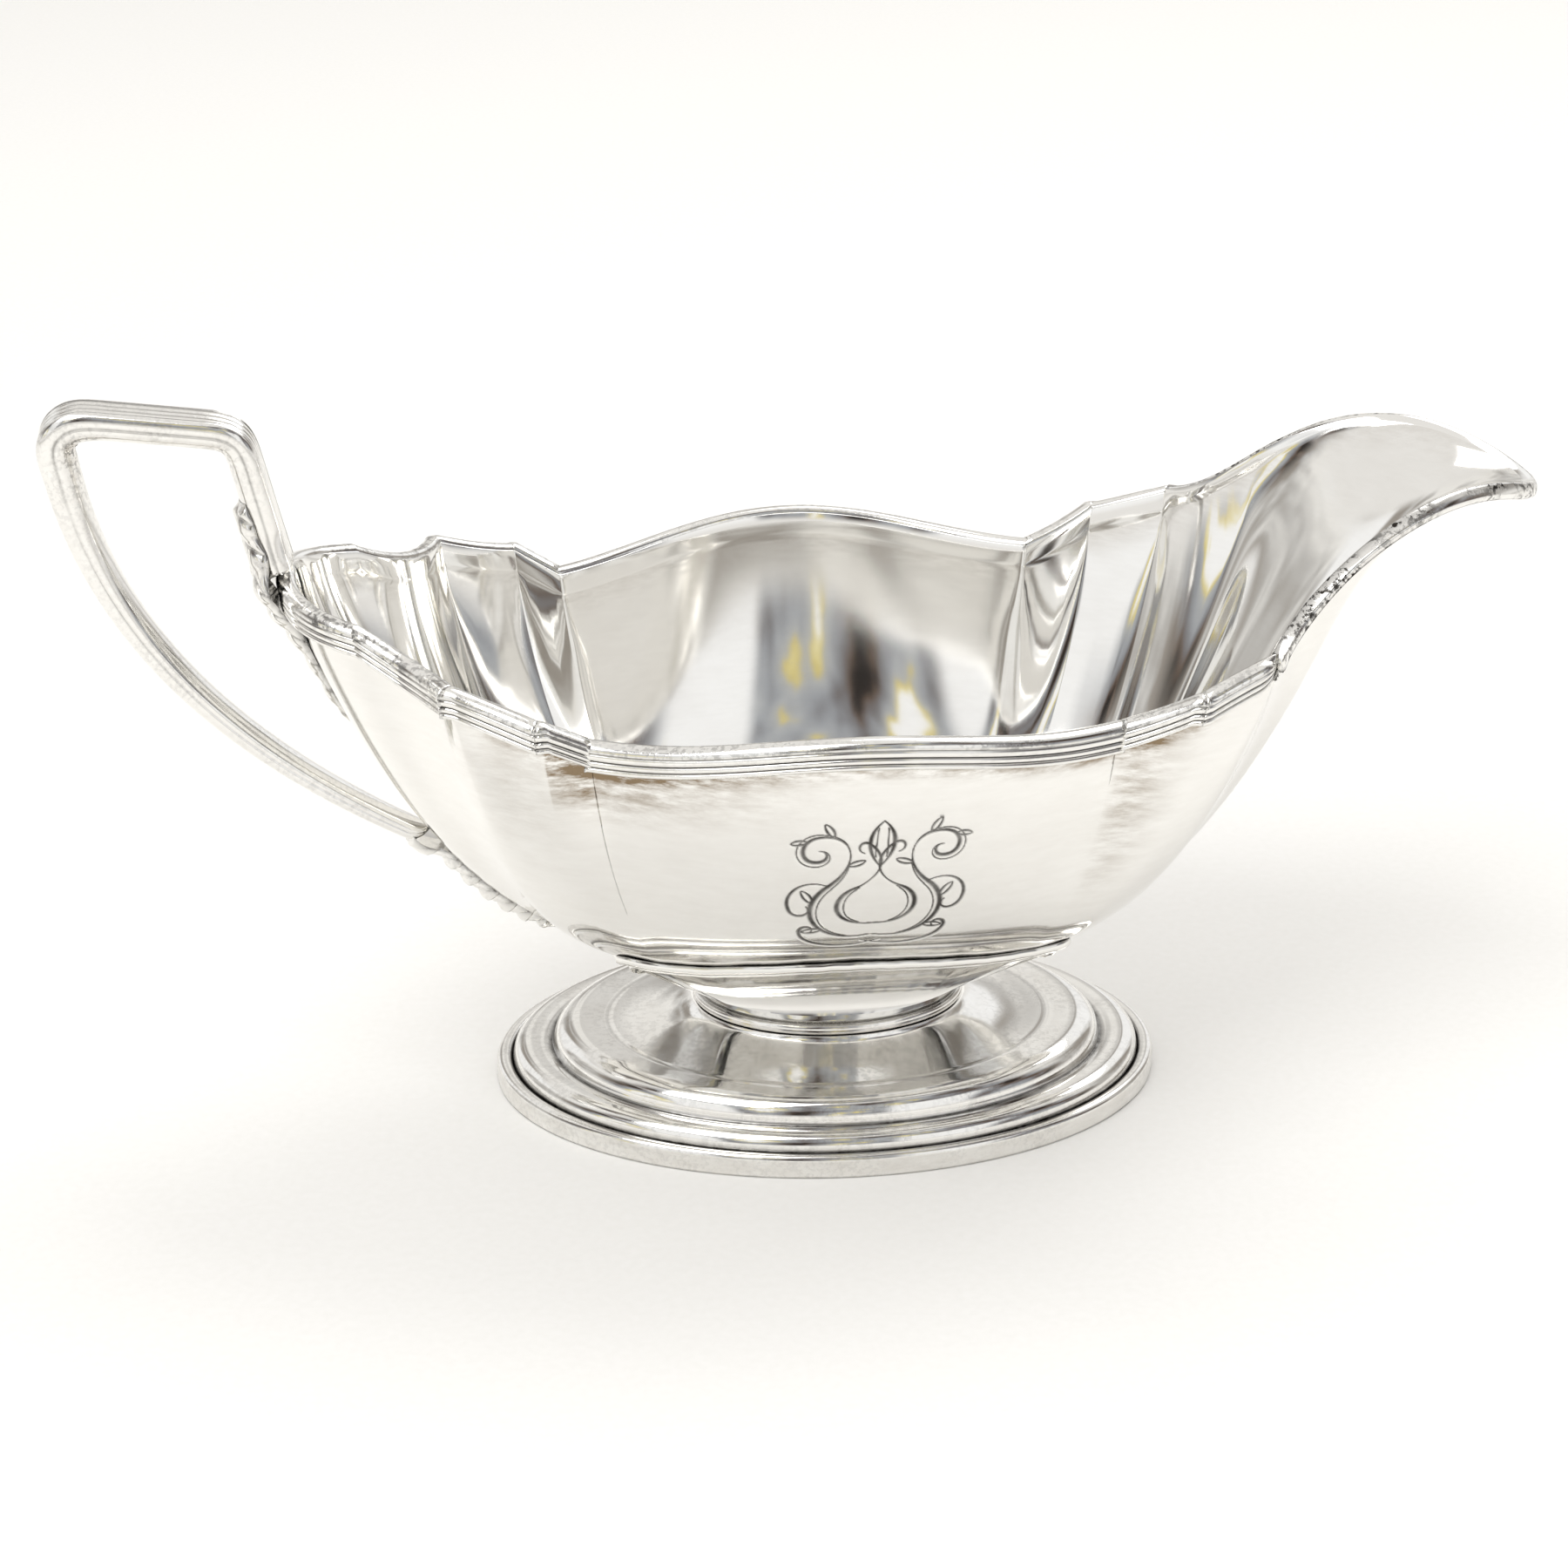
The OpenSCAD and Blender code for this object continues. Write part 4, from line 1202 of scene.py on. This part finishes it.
@dataclass
class ChasedLeaf:
    """An acanthus leaf laid over a surface: lobed, serrated edges, a midrib and curved veins."""

    name: str
    node: str
    lobes: int
    half_width: float
    thick: float
    crest: float = 0.0           # extra thickness where the leaf turns over, as a share
    crest_at: float = 0.5
    tip_share: float = 0.12
    beading: float = 0.35        # how deeply the lobes notch the leaf's ridge
    rows: int = 150
    columns: int = 49

    def half_at(self, v: Levels) -> Levels:
        """Returns the leaf's half-width along its length, with its lobes cut in."""
        body = np.sin(np.pi * np.clip(0.16 + 0.84 * v, 0, 1)) ** 0.75
        body = np.where(v < 0.4, np.maximum(body, 0.55), body)
        lobe = (v * self.lobes) % 1.0
        bite = 1 - 0.30 * (1 - lobe) ** 2 * smooth_step(v, 0.02, 0.1)
        return self.half_width * np.maximum(body * bite, self.tip_share * (1 - v**8))

    def relief(self, v: Levels, x: Levels) -> tuple[Levels, Levels]:
        """Shapes the leaf's face.

        Args:
            v: Share along the leaf.
            x: Share across it, -1 to 1.

        Returns:
            Height above the surface below, and tarnish.
        """
        far = np.abs(x)
        body = np.sqrt(np.clip(1 - far**3.0, 0, 1))
        wave = (v - 0.09 * far) * self.lobes
        ridge = np.abs(np.sin(np.pi * wave)) ** 0.6
        fine = np.abs(np.sin(np.pi * wave * 3)) ** 0.7
        rib = bump_at(x, 0.0, 0.24)
        groove = bump_at(far, 0.24, 0.13)
        height = body * (0.62 + 0.38 * ridge * smooth_step(far, 0.1, 0.5)
                         - 0.1 * (1 - fine) * smooth_step(far, 0.3, 0.8))
        height = height * (1 - self.beading * (1 - ridge))
        height = height + 0.22 * rib * (0.5 + 0.5 * ridge) - 0.2 * groove
        dark = np.clip(0.75 * (1 - ridge) ** 2.5 * smooth_step(far, 0.15, 0.4) + 0.55 * groove
                       + 0.5 * smooth_step(far, 0.95, 1.0), 0, 1)
        return self.thick * np.clip(height, 0.02, 1.3), dark

    def add(self, maker: PieceMaker, base: Points, normal: Points, v: Levels, x: Levels,
            film: float = 0.06) -> None:
        """Adds the leaf over a grid of base points, closed underneath.

        Args:
            maker: Makes the piece.
            base: Points that the leaf lies on.
            normal: Outward directions there.
            v: Share along the leaf for each point.
            x: Share across it.
            film: Level of thin tarnish.
        """
        height, dark = self.relief(v, x)
        ends = smooth_step(v, 0.0, 0.04) * (1 - 0.6 * smooth_step(v, 0.93, 1.0))
        ends = ends * (0.75 + self.crest * bump_at(v, self.crest_at, 0.34))
        face = base + (0.08 + (height * ends))[..., None] * normal
        back = base + 0.06 * normal
        rows = np.concatenate([face, back[:, ::-1]], axis=1)
        count = rows.shape[1]
        faces: list[Sequence[int]] = list(grid_faces(len(rows), count, True))
        faces += [tuple(range(count)), tuple((len(rows) - 1) * count + k for k in range(count))]
        maker.add(self.name, rows, faces, CAST_SILVER, "silver_casting", [self.node],
                  tarnish=np.concatenate([dark, np.full_like(dark, 0.1)], axis=1), film=film, mottle=0.15)


@dataclass
class Leaves:
    """The two chased leaves that hold the handle: one over the rim, one along the keel."""

    form: BowlForm
    handle: Handle
    upper_length: float = 21.0
    upper_half: float = 5.6
    lower_half: float = 3.6

    def build(self, maker: PieceMaker) -> None:
        """Builds both leaves."""
        self._upper(maker)
        self._lower(maker)

    def _per_mm(self, s: float) -> float:
        """Returns the stations per millimetre round the heel at a level of the wall."""
        form = self.form
        return 0.5 / float(np.linalg.norm(form.outside(0.5, s) - form.outside(0.0, s)))

    def _upper(self, maker: PieceMaker) -> None:
        """Builds the leaf that climbs the wall, crosses the wire and grips the handle's leg."""
        leaf = ChasedLeaf("upper_leaf_chased", "upper_leaf", 8, self.upper_half, 2.0, 0.55, 0.5)
        form = self.form
        v = np.linspace(0, 1, leaf.rows)
        x = np.linspace(-1, 1, leaf.columns)
        half = leaf.half_at(v)
        top_z = form.outside(0.0, 1.0)[2]
        end = form.level_at(0.0, top_z - self.upper_length + 2)
        base = np.zeros((leaf.rows, leaf.columns, 3))
        normal = np.zeros_like(base)
        on_leg, on_wire = 0.30, 0.44
        for k, share in enumerate(v):
            across = x * half[k]
            if share < on_leg:
                base[k], normal[k] = self.handle.skin(10.0 * (1 - share / on_leg), across / self.upper_half)
            elif share < on_wire:
                u = (share - on_leg) / (on_wire - on_leg)
                t = across * self._per_mm(1.0)
                inner = form.edge(t) - (form.wire_height * u) * form.wall_run(t)
                base[k] = inner + (2.75 + 1.6 * (1 - u) ** 1.3) * form.rim_out(t)
                normal[k] = form.rim_out(t)
            else:
                u = (share - on_wire) / (1 - on_wire)
                s = 1 - (1 - end) * u
                t = across * self._per_mm(s)
                lie = 1.7 * (1 - u) ** 6
                base[k] = form.outside(t, np.full_like(t, s), lie)
                normal[k] = form.outward(t, np.full_like(t, s))
        relax(base, 30)
        relax(normal, 30)
        grid_v, grid_x = np.broadcast_arrays(v[:, None], x[None, :])
        leaf.add(maker, base, unit(normal), grid_v, grid_x)

    def _lower(self, maker: PieceMaker) -> None:
        """Builds the leaf along the keel, from the handle's tail towards the foot."""
        leaf = ChasedLeaf("lower_leaf_chased", "lower_leaf", 8, self.lower_half, 2.9)
        form = self.form
        v = np.linspace(0, 1, leaf.rows)
        x = np.linspace(-1, 1, leaf.columns)
        start = self.handle.tail_level + 0.035
        s = start - (start - 0.02) * v
        table = np.linspace(0, 1, 21)
        per_mm = np.interp(s, table, [self._per_mm(max(0.02, k)) for k in table])
        t = x[None, :] * (leaf.half_at(v) * per_mm)[:, None]
        level = np.broadcast_to(s[:, None], t.shape)
        lift = self.handle.tail_thick * (1 - smooth_step(v, 0.03, 0.2))[:, None] * np.ones_like(t)
        base = form.outside(t, level, lift)
        grid_v, grid_x = np.broadcast_arrays(v[:, None], x[None, :])
        leaf.add(maker, base, form.outward(t, level), grid_v, grid_x)


@dataclass
class Pedestal:
    """The collar under the bowl, the stem's ring, and the stepped oval foot with its band."""

    form: BowlForm
    length: float
    width: float
    band_height: float = 3.2
    band_width: float = 2.2
    height: float = 11.0
    stem_length: float = 36.0
    stem_top: float = 12.62
    bracket: tuple[tuple[float, float], ...] = (
        (32.4, 0.0), (31.6, 4.5), (30.2, 9.0), (29.6, 12.6), (30.2, 16.0), (28.6, 18.2), (25.4, 18.4),
        (21.0, 20.6), (14.0, 24.4), (7.0, 26.3), (0.0, 26.9))     # a quarter, from the spout to the side
    round_steps: int = 192

    @property
    def squash(self) -> float:
        """Width of every oval as a share of its length."""
        return self.width / self.length

    def _turned(self, profile: Sequence[tuple[float, float]]) -> Points:
        """Turns a profile of (half-length, height) points into rows of oval rings."""
        angles = np.linspace(0, 2 * math.pi, self.round_steps, endpoint=False)
        ring = np.stack([np.cos(angles), self.squash * np.sin(angles), np.zeros_like(angles)], -1)
        return np.stack([ring * reach + [0, 0, z] for reach, z in profile])

    def _shut(self, rows: int, columns: int) -> list[tuple[int, int, int, int]]:
        """Returns the faces of rings that also close from the last ring to the first."""
        faces = grid_faces(rows, columns, True)
        last = (rows - 1) * columns
        return faces + [(last + k, last + (k + 1) % columns, (k + 1) % columns, k) for k in range(columns)]

    def _add(self, maker: PieceMaker, name: str, node: str, slot: str, finish: SilverFinish,
             profile: Sequence[tuple[float, float, float]], film: float) -> None:
        """Adds a turned piece whose profile also gives tarnish at each point."""
        rows = self._turned([(a, z) for a, z, _ in profile])
        dark = np.broadcast_to(np.array([d for *_, d in profile])[:, None], rows.shape[:-1])
        maker.add(name, rows, self._shut(len(rows), self.round_steps), finish, slot, [node],
                  tarnish=dark, film=film, mottle=0.1)

    def build(self, maker: PieceMaker) -> None:
        """Builds the four pieces."""
        self._collar(maker)
        self._ring(maker)
        self._shell(maker)
        self._band(maker)

    def _collar(self, maker: PieceMaker) -> None:
        """Builds the trumpet collar: two beads that follow a bracketed outline, then a cove to the stem."""
        form = self.form
        angles = np.linspace(-180, 180, 360, endpoint=False)
        stem = np.concatenate([form.oval(self.stem_length, self.stem_length * self.squash, 2.0, angles),
                               np.full((len(angles), 1), self.stem_top)], -1)
        ring_x, ring_y = (np.array([p[k] for p in self.bracket]) for k in (0, 1))
        turn = np.degrees(np.arctan2(ring_y, ring_x))
        corner = np.abs(np.abs(angles) - 90)                  # 0 at the sides, 90 at the heel and spout
        outline = np.stack([-np.sign(np.cos(np.radians(angles))) * np.interp(90 - corner, turn, ring_x),
                            np.sign(angles) * np.interp(90 - corner, turn, ring_y)], -1)
        outline = np.concatenate([outline, np.zeros((len(angles), 1))], -1)
        outline = relaxed_ring(outline, 4)
        near = form.outside(np.linspace(-9, 9, 541)[None, :], np.linspace(0.0, 0.35, 60)[:, None])
        near = near.reshape(-1, 3)
        gap = np.linalg.norm(near[None, :, :2] - outline[:, None, :2], axis=-1)
        in_well = ((np.abs(outline[:, 0]) * 2 / form.well_length) ** form.well_power
                   + (np.abs(outline[:, 1]) * 2 / form.well_width) ** form.well_power) < 1
        height = np.where(in_well, form.well_height, near[gap.argmin(axis=1), 2])
        height = relaxed_ring(height, 3)
        top = outline + (height[:, None] + 0.15) * [0, 0, 1]
        top = top + 0.12 * unit(outline) - [0, 0, 0.1]
        along = unit(np.roll(outline, -1, axis=0) - np.roll(outline, 1, axis=0))
        inward = np.stack([along[:, 1], -along[:, 0], np.zeros(len(angles))], -1)
        inward = inward * -np.sign((inward * outline).sum(-1))[:, None]
        down = np.array([0.0, 0.0, -1.0])
        rows, dark = [top + 0.4 * inward + 0.5 * down], [0.6]
        for middle_in, middle_down, radius in ((0.2, 0.35, 0.85), (1.9, 1.75, 0.65)):
            for angle in np.linspace(-0.25 * math.pi, 0.62 * math.pi, 11):
                rows.append(top + (middle_in - radius * math.cos(angle)) * inward
                            + (middle_down + radius * math.sin(angle)) * down)
                dark.append(0.9 * float(bump_at(angle, -0.25 * math.pi, 0.5)
                                        + bump_at(angle, 0.62 * math.pi, 0.5)))
        start = top + 2.5 * inward + 2.6 * down
        drop = start[:, 2:] - stem[:, 2:]
        flat = (stem - start) * [1, 1, 0]
        for v in np.linspace(0.0, 1, 26):
            line = 0.14 * float(bump_at(v, 0.55, 0.05))
            ring = bezier(start, start + 0.62 * flat - 0.16 * drop * [0, 0, 1],
                          stem + 0.5 * drop * [0, 0, 1], stem, v)
            rows.append(ring + line * inward)
            dark.append(1.2 * line)
        rows += [stem * [0.92, 0.92, 1], start + 1.2 * inward + 1.0 * (1 - drop / 9) * down]
        dark += [0.1, 0.1]
        stack = np.stack(rows)
        maker.add("collar_trumpet", stack, self._shut(len(stack), len(angles)), SPUN_SHEET, "silver_sheet",
                  ["collar"], tarnish=np.broadcast_to(np.array(dark)[:, None], stack.shape[:-1]), film=0.05)

    def _ring(self, maker: PieceMaker) -> None:
        """Builds the beaded ring round the stem."""
        reach, bead = self.stem_length / 2, 0.8
        profile = [(reach - 1, self.height + 0.05, 0.0)]
        profile += [(reach + bead * math.cos(a), self.height + 0.05 + bead * (1 + math.sin(a)),
                     0.45 * abs(math.sin(a)) ** 6) for a in np.linspace(-math.pi / 2, math.pi / 2, 14)]
        profile.append((reach - 1, self.height + 0.05 + 2 * bead, 0.0))
        self._add(maker, "stem_bead", "stem_ring", "silver_casting", CAST_SILVER, profile, 0.2)

    def _shell(self, maker: PieceMaker) -> None:
        """Builds the foot's sheet: a rounded ledge, a groove, and a dome with chased lines."""
        edge = self.length / 2 - self.band_width - 0.02
        low = self.band_height
        outline = [(edge, 0.3, 0.5), (edge, low - 0.5, 1.0), (edge - 0.02, low - 0.1, 0.9),
                   (edge - 0.1, low + 0.2, 0.3)]
        outline += [(edge - 0.15 - 2.3 * (1 - math.cos(a)), low + 0.25 + 1.75 * math.sin(a), 0.0)
                    for a in np.linspace(0.15, math.pi / 2, 14)]
        outline += [(edge - 3.6, low + 2.0, 0.0), (edge - 4.6, low + 1.9, 0.1), (edge - 5.2, low + 1.7, 0.8),
                    (edge - 5.45, low + 1.75, 0.9), (edge - 5.6, low + 2.0, 0.3)]
        foot, rise = low + 2.1, self.height - low - 2.1
        dome = edge - 5.7
        outline += [(dome - 3.6 * (1 - math.cos(a)), foot + 0.5 * rise * math.sin(a), 0.0)
                    for a in np.linspace(0.1, math.pi / 2, 14)]
        stem = self.stem_length / 2 + 0.55
        for v in np.linspace(0.03, 1, 50):
            reach = dome - 3.6 + (stem - dome + 3.6) * (1 - (1 - v) ** 1.5)
            line = float(bump_at(reach, 30.7, 0.5))
            outline.append((reach, foot + rise * (0.5 + 0.5 * v**2.6) - 0.08 * line, 0.15 * line))
        under = [(a - 0.6, max(z - 0.95, 0.3), 0.3) for a, z, _ in outline[3:]][::-1]
        under += [(edge - 1.0, self.band_height, 0.4), (edge - 1.0, 0.3, 0.4)]
        self._add(maker, "foot_dome", "foot_shell", "silver_sheet", SPUN_SHEET, outline + under, 0.1)

    def _band(self, maker: PieceMaker) -> None:
        """Builds the base band that the boat stands on."""
        reach, high, wide = self.length / 2, self.band_height, self.band_width
        profile = [(reach - wide, 0.25, 0.3), (reach - wide + 0.3, 0.0, 0.3), (reach - 0.25, 0.0, 0.3),
                   (reach - 0.05, 0.12, 0.3), (reach, 0.4, 0.0), (reach, 1.2, 0.0), (reach, high - 1.0, 0.0)]
        profile += [(reach - 0.9 * (1 - math.cos(a)), high - 0.9 + 0.9 * math.sin(a), 0.0)
                    for a in np.linspace(0.15, math.pi / 2, 9)]
        profile += [(reach - 1.5, high - 0.02, 0.0), (reach - 1.85, high - 0.12, 0.5),
                    (reach - wide + 0.05, high - 0.4, 1.0), (reach - wide, high - 0.8, 1.0)]
        self._add(maker, "foot_band_ring", "foot_band", "silver_casting", CAST_SILVER, profile, 0.15)


# ---------------------------------------------------------------- the studio

@dataclass
class Studio:
    """A pale sweep, soft lights and the camera."""

    target: Vector
    pitch: float = 22.8          # degrees that the camera looks down
    yaw: float = -8.0            # degrees that it stands to the heel's side of square
    roll: float = 1.13
    distance: float = 0.4855
    lens_mm: float = 82.94
    sensor_mm: float = 36.0
    lens_shift: tuple[float, float] = (-0.031667, -0.053056)
    tent_glow: float = 1.0
    key_watts: float = 7.0
    fill_watts: float = 4.0

    def build(self) -> None:
        """Sets up the sweep, the surroundings, the lights and the camera."""
        self._sweep()
        self._surroundings()
        self._light("key_softbox", (-0.45, -0.5, 1.1), 0.75, self.key_watts)
        self._light("rim_softbox", (0.5, 0.5, 1.0), 0.7, self.fill_watts)
        self._camera()

    def _sweep(self) -> None:
        """Lays the paper that the boat stands on."""
        mesh = bpy.data.meshes.new("paper_sweep")
        half = 4.0
        mesh.from_pydata([(-half, -half, 0), (half, -half, 0), (half, half, 0), (-half, half, 0)], [],
                         [(0, 1, 2, 3)])
        sweep = bpy.data.objects.new("paper_sweep", mesh)
        bpy.context.scene.collection.objects.link(sweep)
        mesh.materials.append(PaperSweep().material())

    def _surroundings(self) -> None:
        """Surrounds the boat with a white tent whose front opening is a dim room."""
        world = bpy.data.worlds.new("studio_tent")
        bpy.context.scene.world = world
        world.use_nodes = True
        tree = world.node_tree
        tree.nodes.clear()
        way = add_node(tree, "ShaderNodeTexCoord").outputs["Generated"]
        axes = add_node(tree, "ShaderNodeSeparateXYZ", {}, {0: way})
        across, ahead, above = (axes.outputs[k] for k in ("X", "Y", "Z"))
        front = self._rise(tree, ahead, 0.1, -0.25)
        left = self._band(tree, across, (-0.80, -0.70, -0.47, -0.40))
        right = self._band(tree, across, (0.27, 0.33, 0.62, 0.72))
        flags = add_node(tree, "ShaderNodeMath", {"operation": "MAXIMUM"}, {0: left, 1: right}).outputs[0]
        sheets = add_node(tree, "ShaderNodeMath", {"operation": "MULTIPLY"},
                          {0: flags, 1: self._band(tree, above, (0.0, 0.06, 0.6, 0.66))}).outputs[0]
        upright = add_node(tree, "ShaderNodeMapping", {}, {"Vector": way, "Scale": (5.0, 2.0, 1.6)})
        blot = add_node(tree, "ShaderNodeTexNoise", {},
                        {"Vector": upright.outputs[0], "Scale": 1.0, "Detail": 3.0, "Roughness": 0.55})
        clutter = add_node(tree, "ShaderNodeValToRGB", {}, {0: blot.outputs["Fac"]})
        set_ramp(clutter, ((0.36, "#2E2A28"), (0.40, "#6B5A4E"), (0.44, "#7E7C7E"), (0.52, "#A3A6AB"),
                           (0.585, "#B9BBBD"), (0.6, "#D9C777"), (0.63, "#EFE3A8"), (0.65, "#FFFFFF")))
        walls = add_node(tree, "ShaderNodeValToRGB", {}, {0: blot.outputs["Fac"]})
        set_ramp(walls, ((0.4, "#A09A93"), (0.5, "#C6C4C1"), (0.6, "#F4F2EE")))
        room = add_node(tree, "ShaderNodeMix", {"data_type": "RGBA"},
                        {"Factor": front, 6: walls.outputs[0], 7: clutter.outputs[0]})
        lit = add_node(tree, "ShaderNodeMix", {"data_type": "RGBA"},
                       {"Factor": sheets, 6: room.outputs[2], 7: linear_colour("#FFFFFF")})
        low_belt = self._band(tree, above, (0.02, 0.2, 0.5, 0.72))
        high_belt = self._band(tree, above, (0.03, 0.2, 0.86, 0.95))
        belt = add_node(tree, "ShaderNodeMix", {"data_type": "FLOAT"},
                        {"Factor": front, 2: low_belt, 3: high_belt}).outputs[0]
        tent = add_node(tree, "ShaderNodeMix", {"data_type": "RGBA"},
                        {"Factor": belt, 6: linear_colour("#F0EEEB"), 7: lit.outputs[2]})
        glow = add_node(tree, "ShaderNodeBackground", {},
                        {"Color": tent.outputs[2], "Strength": self.tent_glow})
        add_node(tree, "ShaderNodeOutputWorld", {}, {"Surface": glow.outputs[0]})

    def _rise(self, tree: bpy.types.NodeTree, level: bpy.types.NodeSocket, low: float,
              high: float) -> bpy.types.NodeSocket:
        """Returns 0 where level is low, 1 where it is high, smooth between."""
        return add_node(tree, "ShaderNodeMapRange", {"interpolation_type": "SMOOTHSTEP"},
                        {"Value": level, "From Min": low, "From Max": high}).outputs["Result"]

    def _band(self, tree: bpy.types.NodeTree, level: bpy.types.NodeSocket,
              edges: tuple[float, float, float, float]) -> bpy.types.NodeSocket:
        """Returns 1 between the two middle edges and 0 beyond the outer two."""
        return add_node(tree, "ShaderNodeMath", {"operation": "MULTIPLY"},
                        {0: self._rise(tree, level, edges[0], edges[1]),
                         1: self._rise(tree, level, edges[3], edges[2])}).outputs[0]

    def _light(self, name: str, place: tuple[float, float, float], size: float, power: float) -> None:
        """Hangs one soft light that faces the boat."""
        data = bpy.data.lights.new(name, "AREA")
        data.shape, data.size, data.energy = "SQUARE", size, power
        light = bpy.data.objects.new(name, data)
        light.location = place
        light.rotation_euler = (self.target - Vector(place)).to_track_quat("-Z", "Y").to_euler()
        bpy.context.scene.collection.objects.link(light)

    def _camera(self) -> None:
        """Places the camera at its distance, tilt and roll."""
        pitch, yaw, roll = (math.radians(a) for a in (self.pitch, self.yaw, self.roll))
        back = Vector((math.sin(yaw) * math.cos(pitch), -math.cos(yaw) * math.cos(pitch), math.sin(pitch)))
        right = (-back).cross(Vector((0, 0, 1))).normalized()
        up = right.cross(-back)
        right, up = (right * math.cos(roll) + up * math.sin(roll),
                     up * math.cos(roll) - right * math.sin(roll))
        data = bpy.data.cameras.new("studio_camera")
        data.sensor_width = self.sensor_mm
        data.lens = self.lens_mm
        data.shift_x, data.shift_y = self.lens_shift
        data.clip_start = 0.01
        camera = bpy.data.objects.new("studio_camera", data)
        turn = Matrix((right, up, back)).transposed().to_4x4()
        camera.matrix_world = Matrix.Translation(self.target + self.distance * back) @ turn
        bpy.context.scene.collection.objects.link(camera)
        bpy.context.scene.camera = camera


def main() -> None:
    """Builds the boat piece by piece, then the studio round it."""
    logging.basicConfig(level=logging.INFO, format="%(name)s: %(message)s")
    low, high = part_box("foot_band")
    shift = (low.x + high.x) / 2 / MM
    form = BowlForm()
    handle = Handle(form)
    maker = PieceMaker(shift)
    sections: list[tuple[str, Callable[[PieceMaker], None]]] = [
        ("bowl", Bowl(form, FoliateCartouche()).build),
        ("rim wires", RimWires(form).build),
        ("handle", handle.build),
        ("leaves", Leaves(form, handle).build),
        ("pedestal", Pedestal(form, (high.x - low.x) / MM, (high.y - low.y) / MM).build),
    ]
    for name, build in sections:
        build(maker)
        LOG.info("%s done", name)
    Studio(Vector((shift * MM, 0, 0.055))).build()
    bpy.context.scene.view_settings.view_transform = "Standard"
    LOG.info("%d pieces made", len(maker.made))


if __name__ == "__main__":
    main()
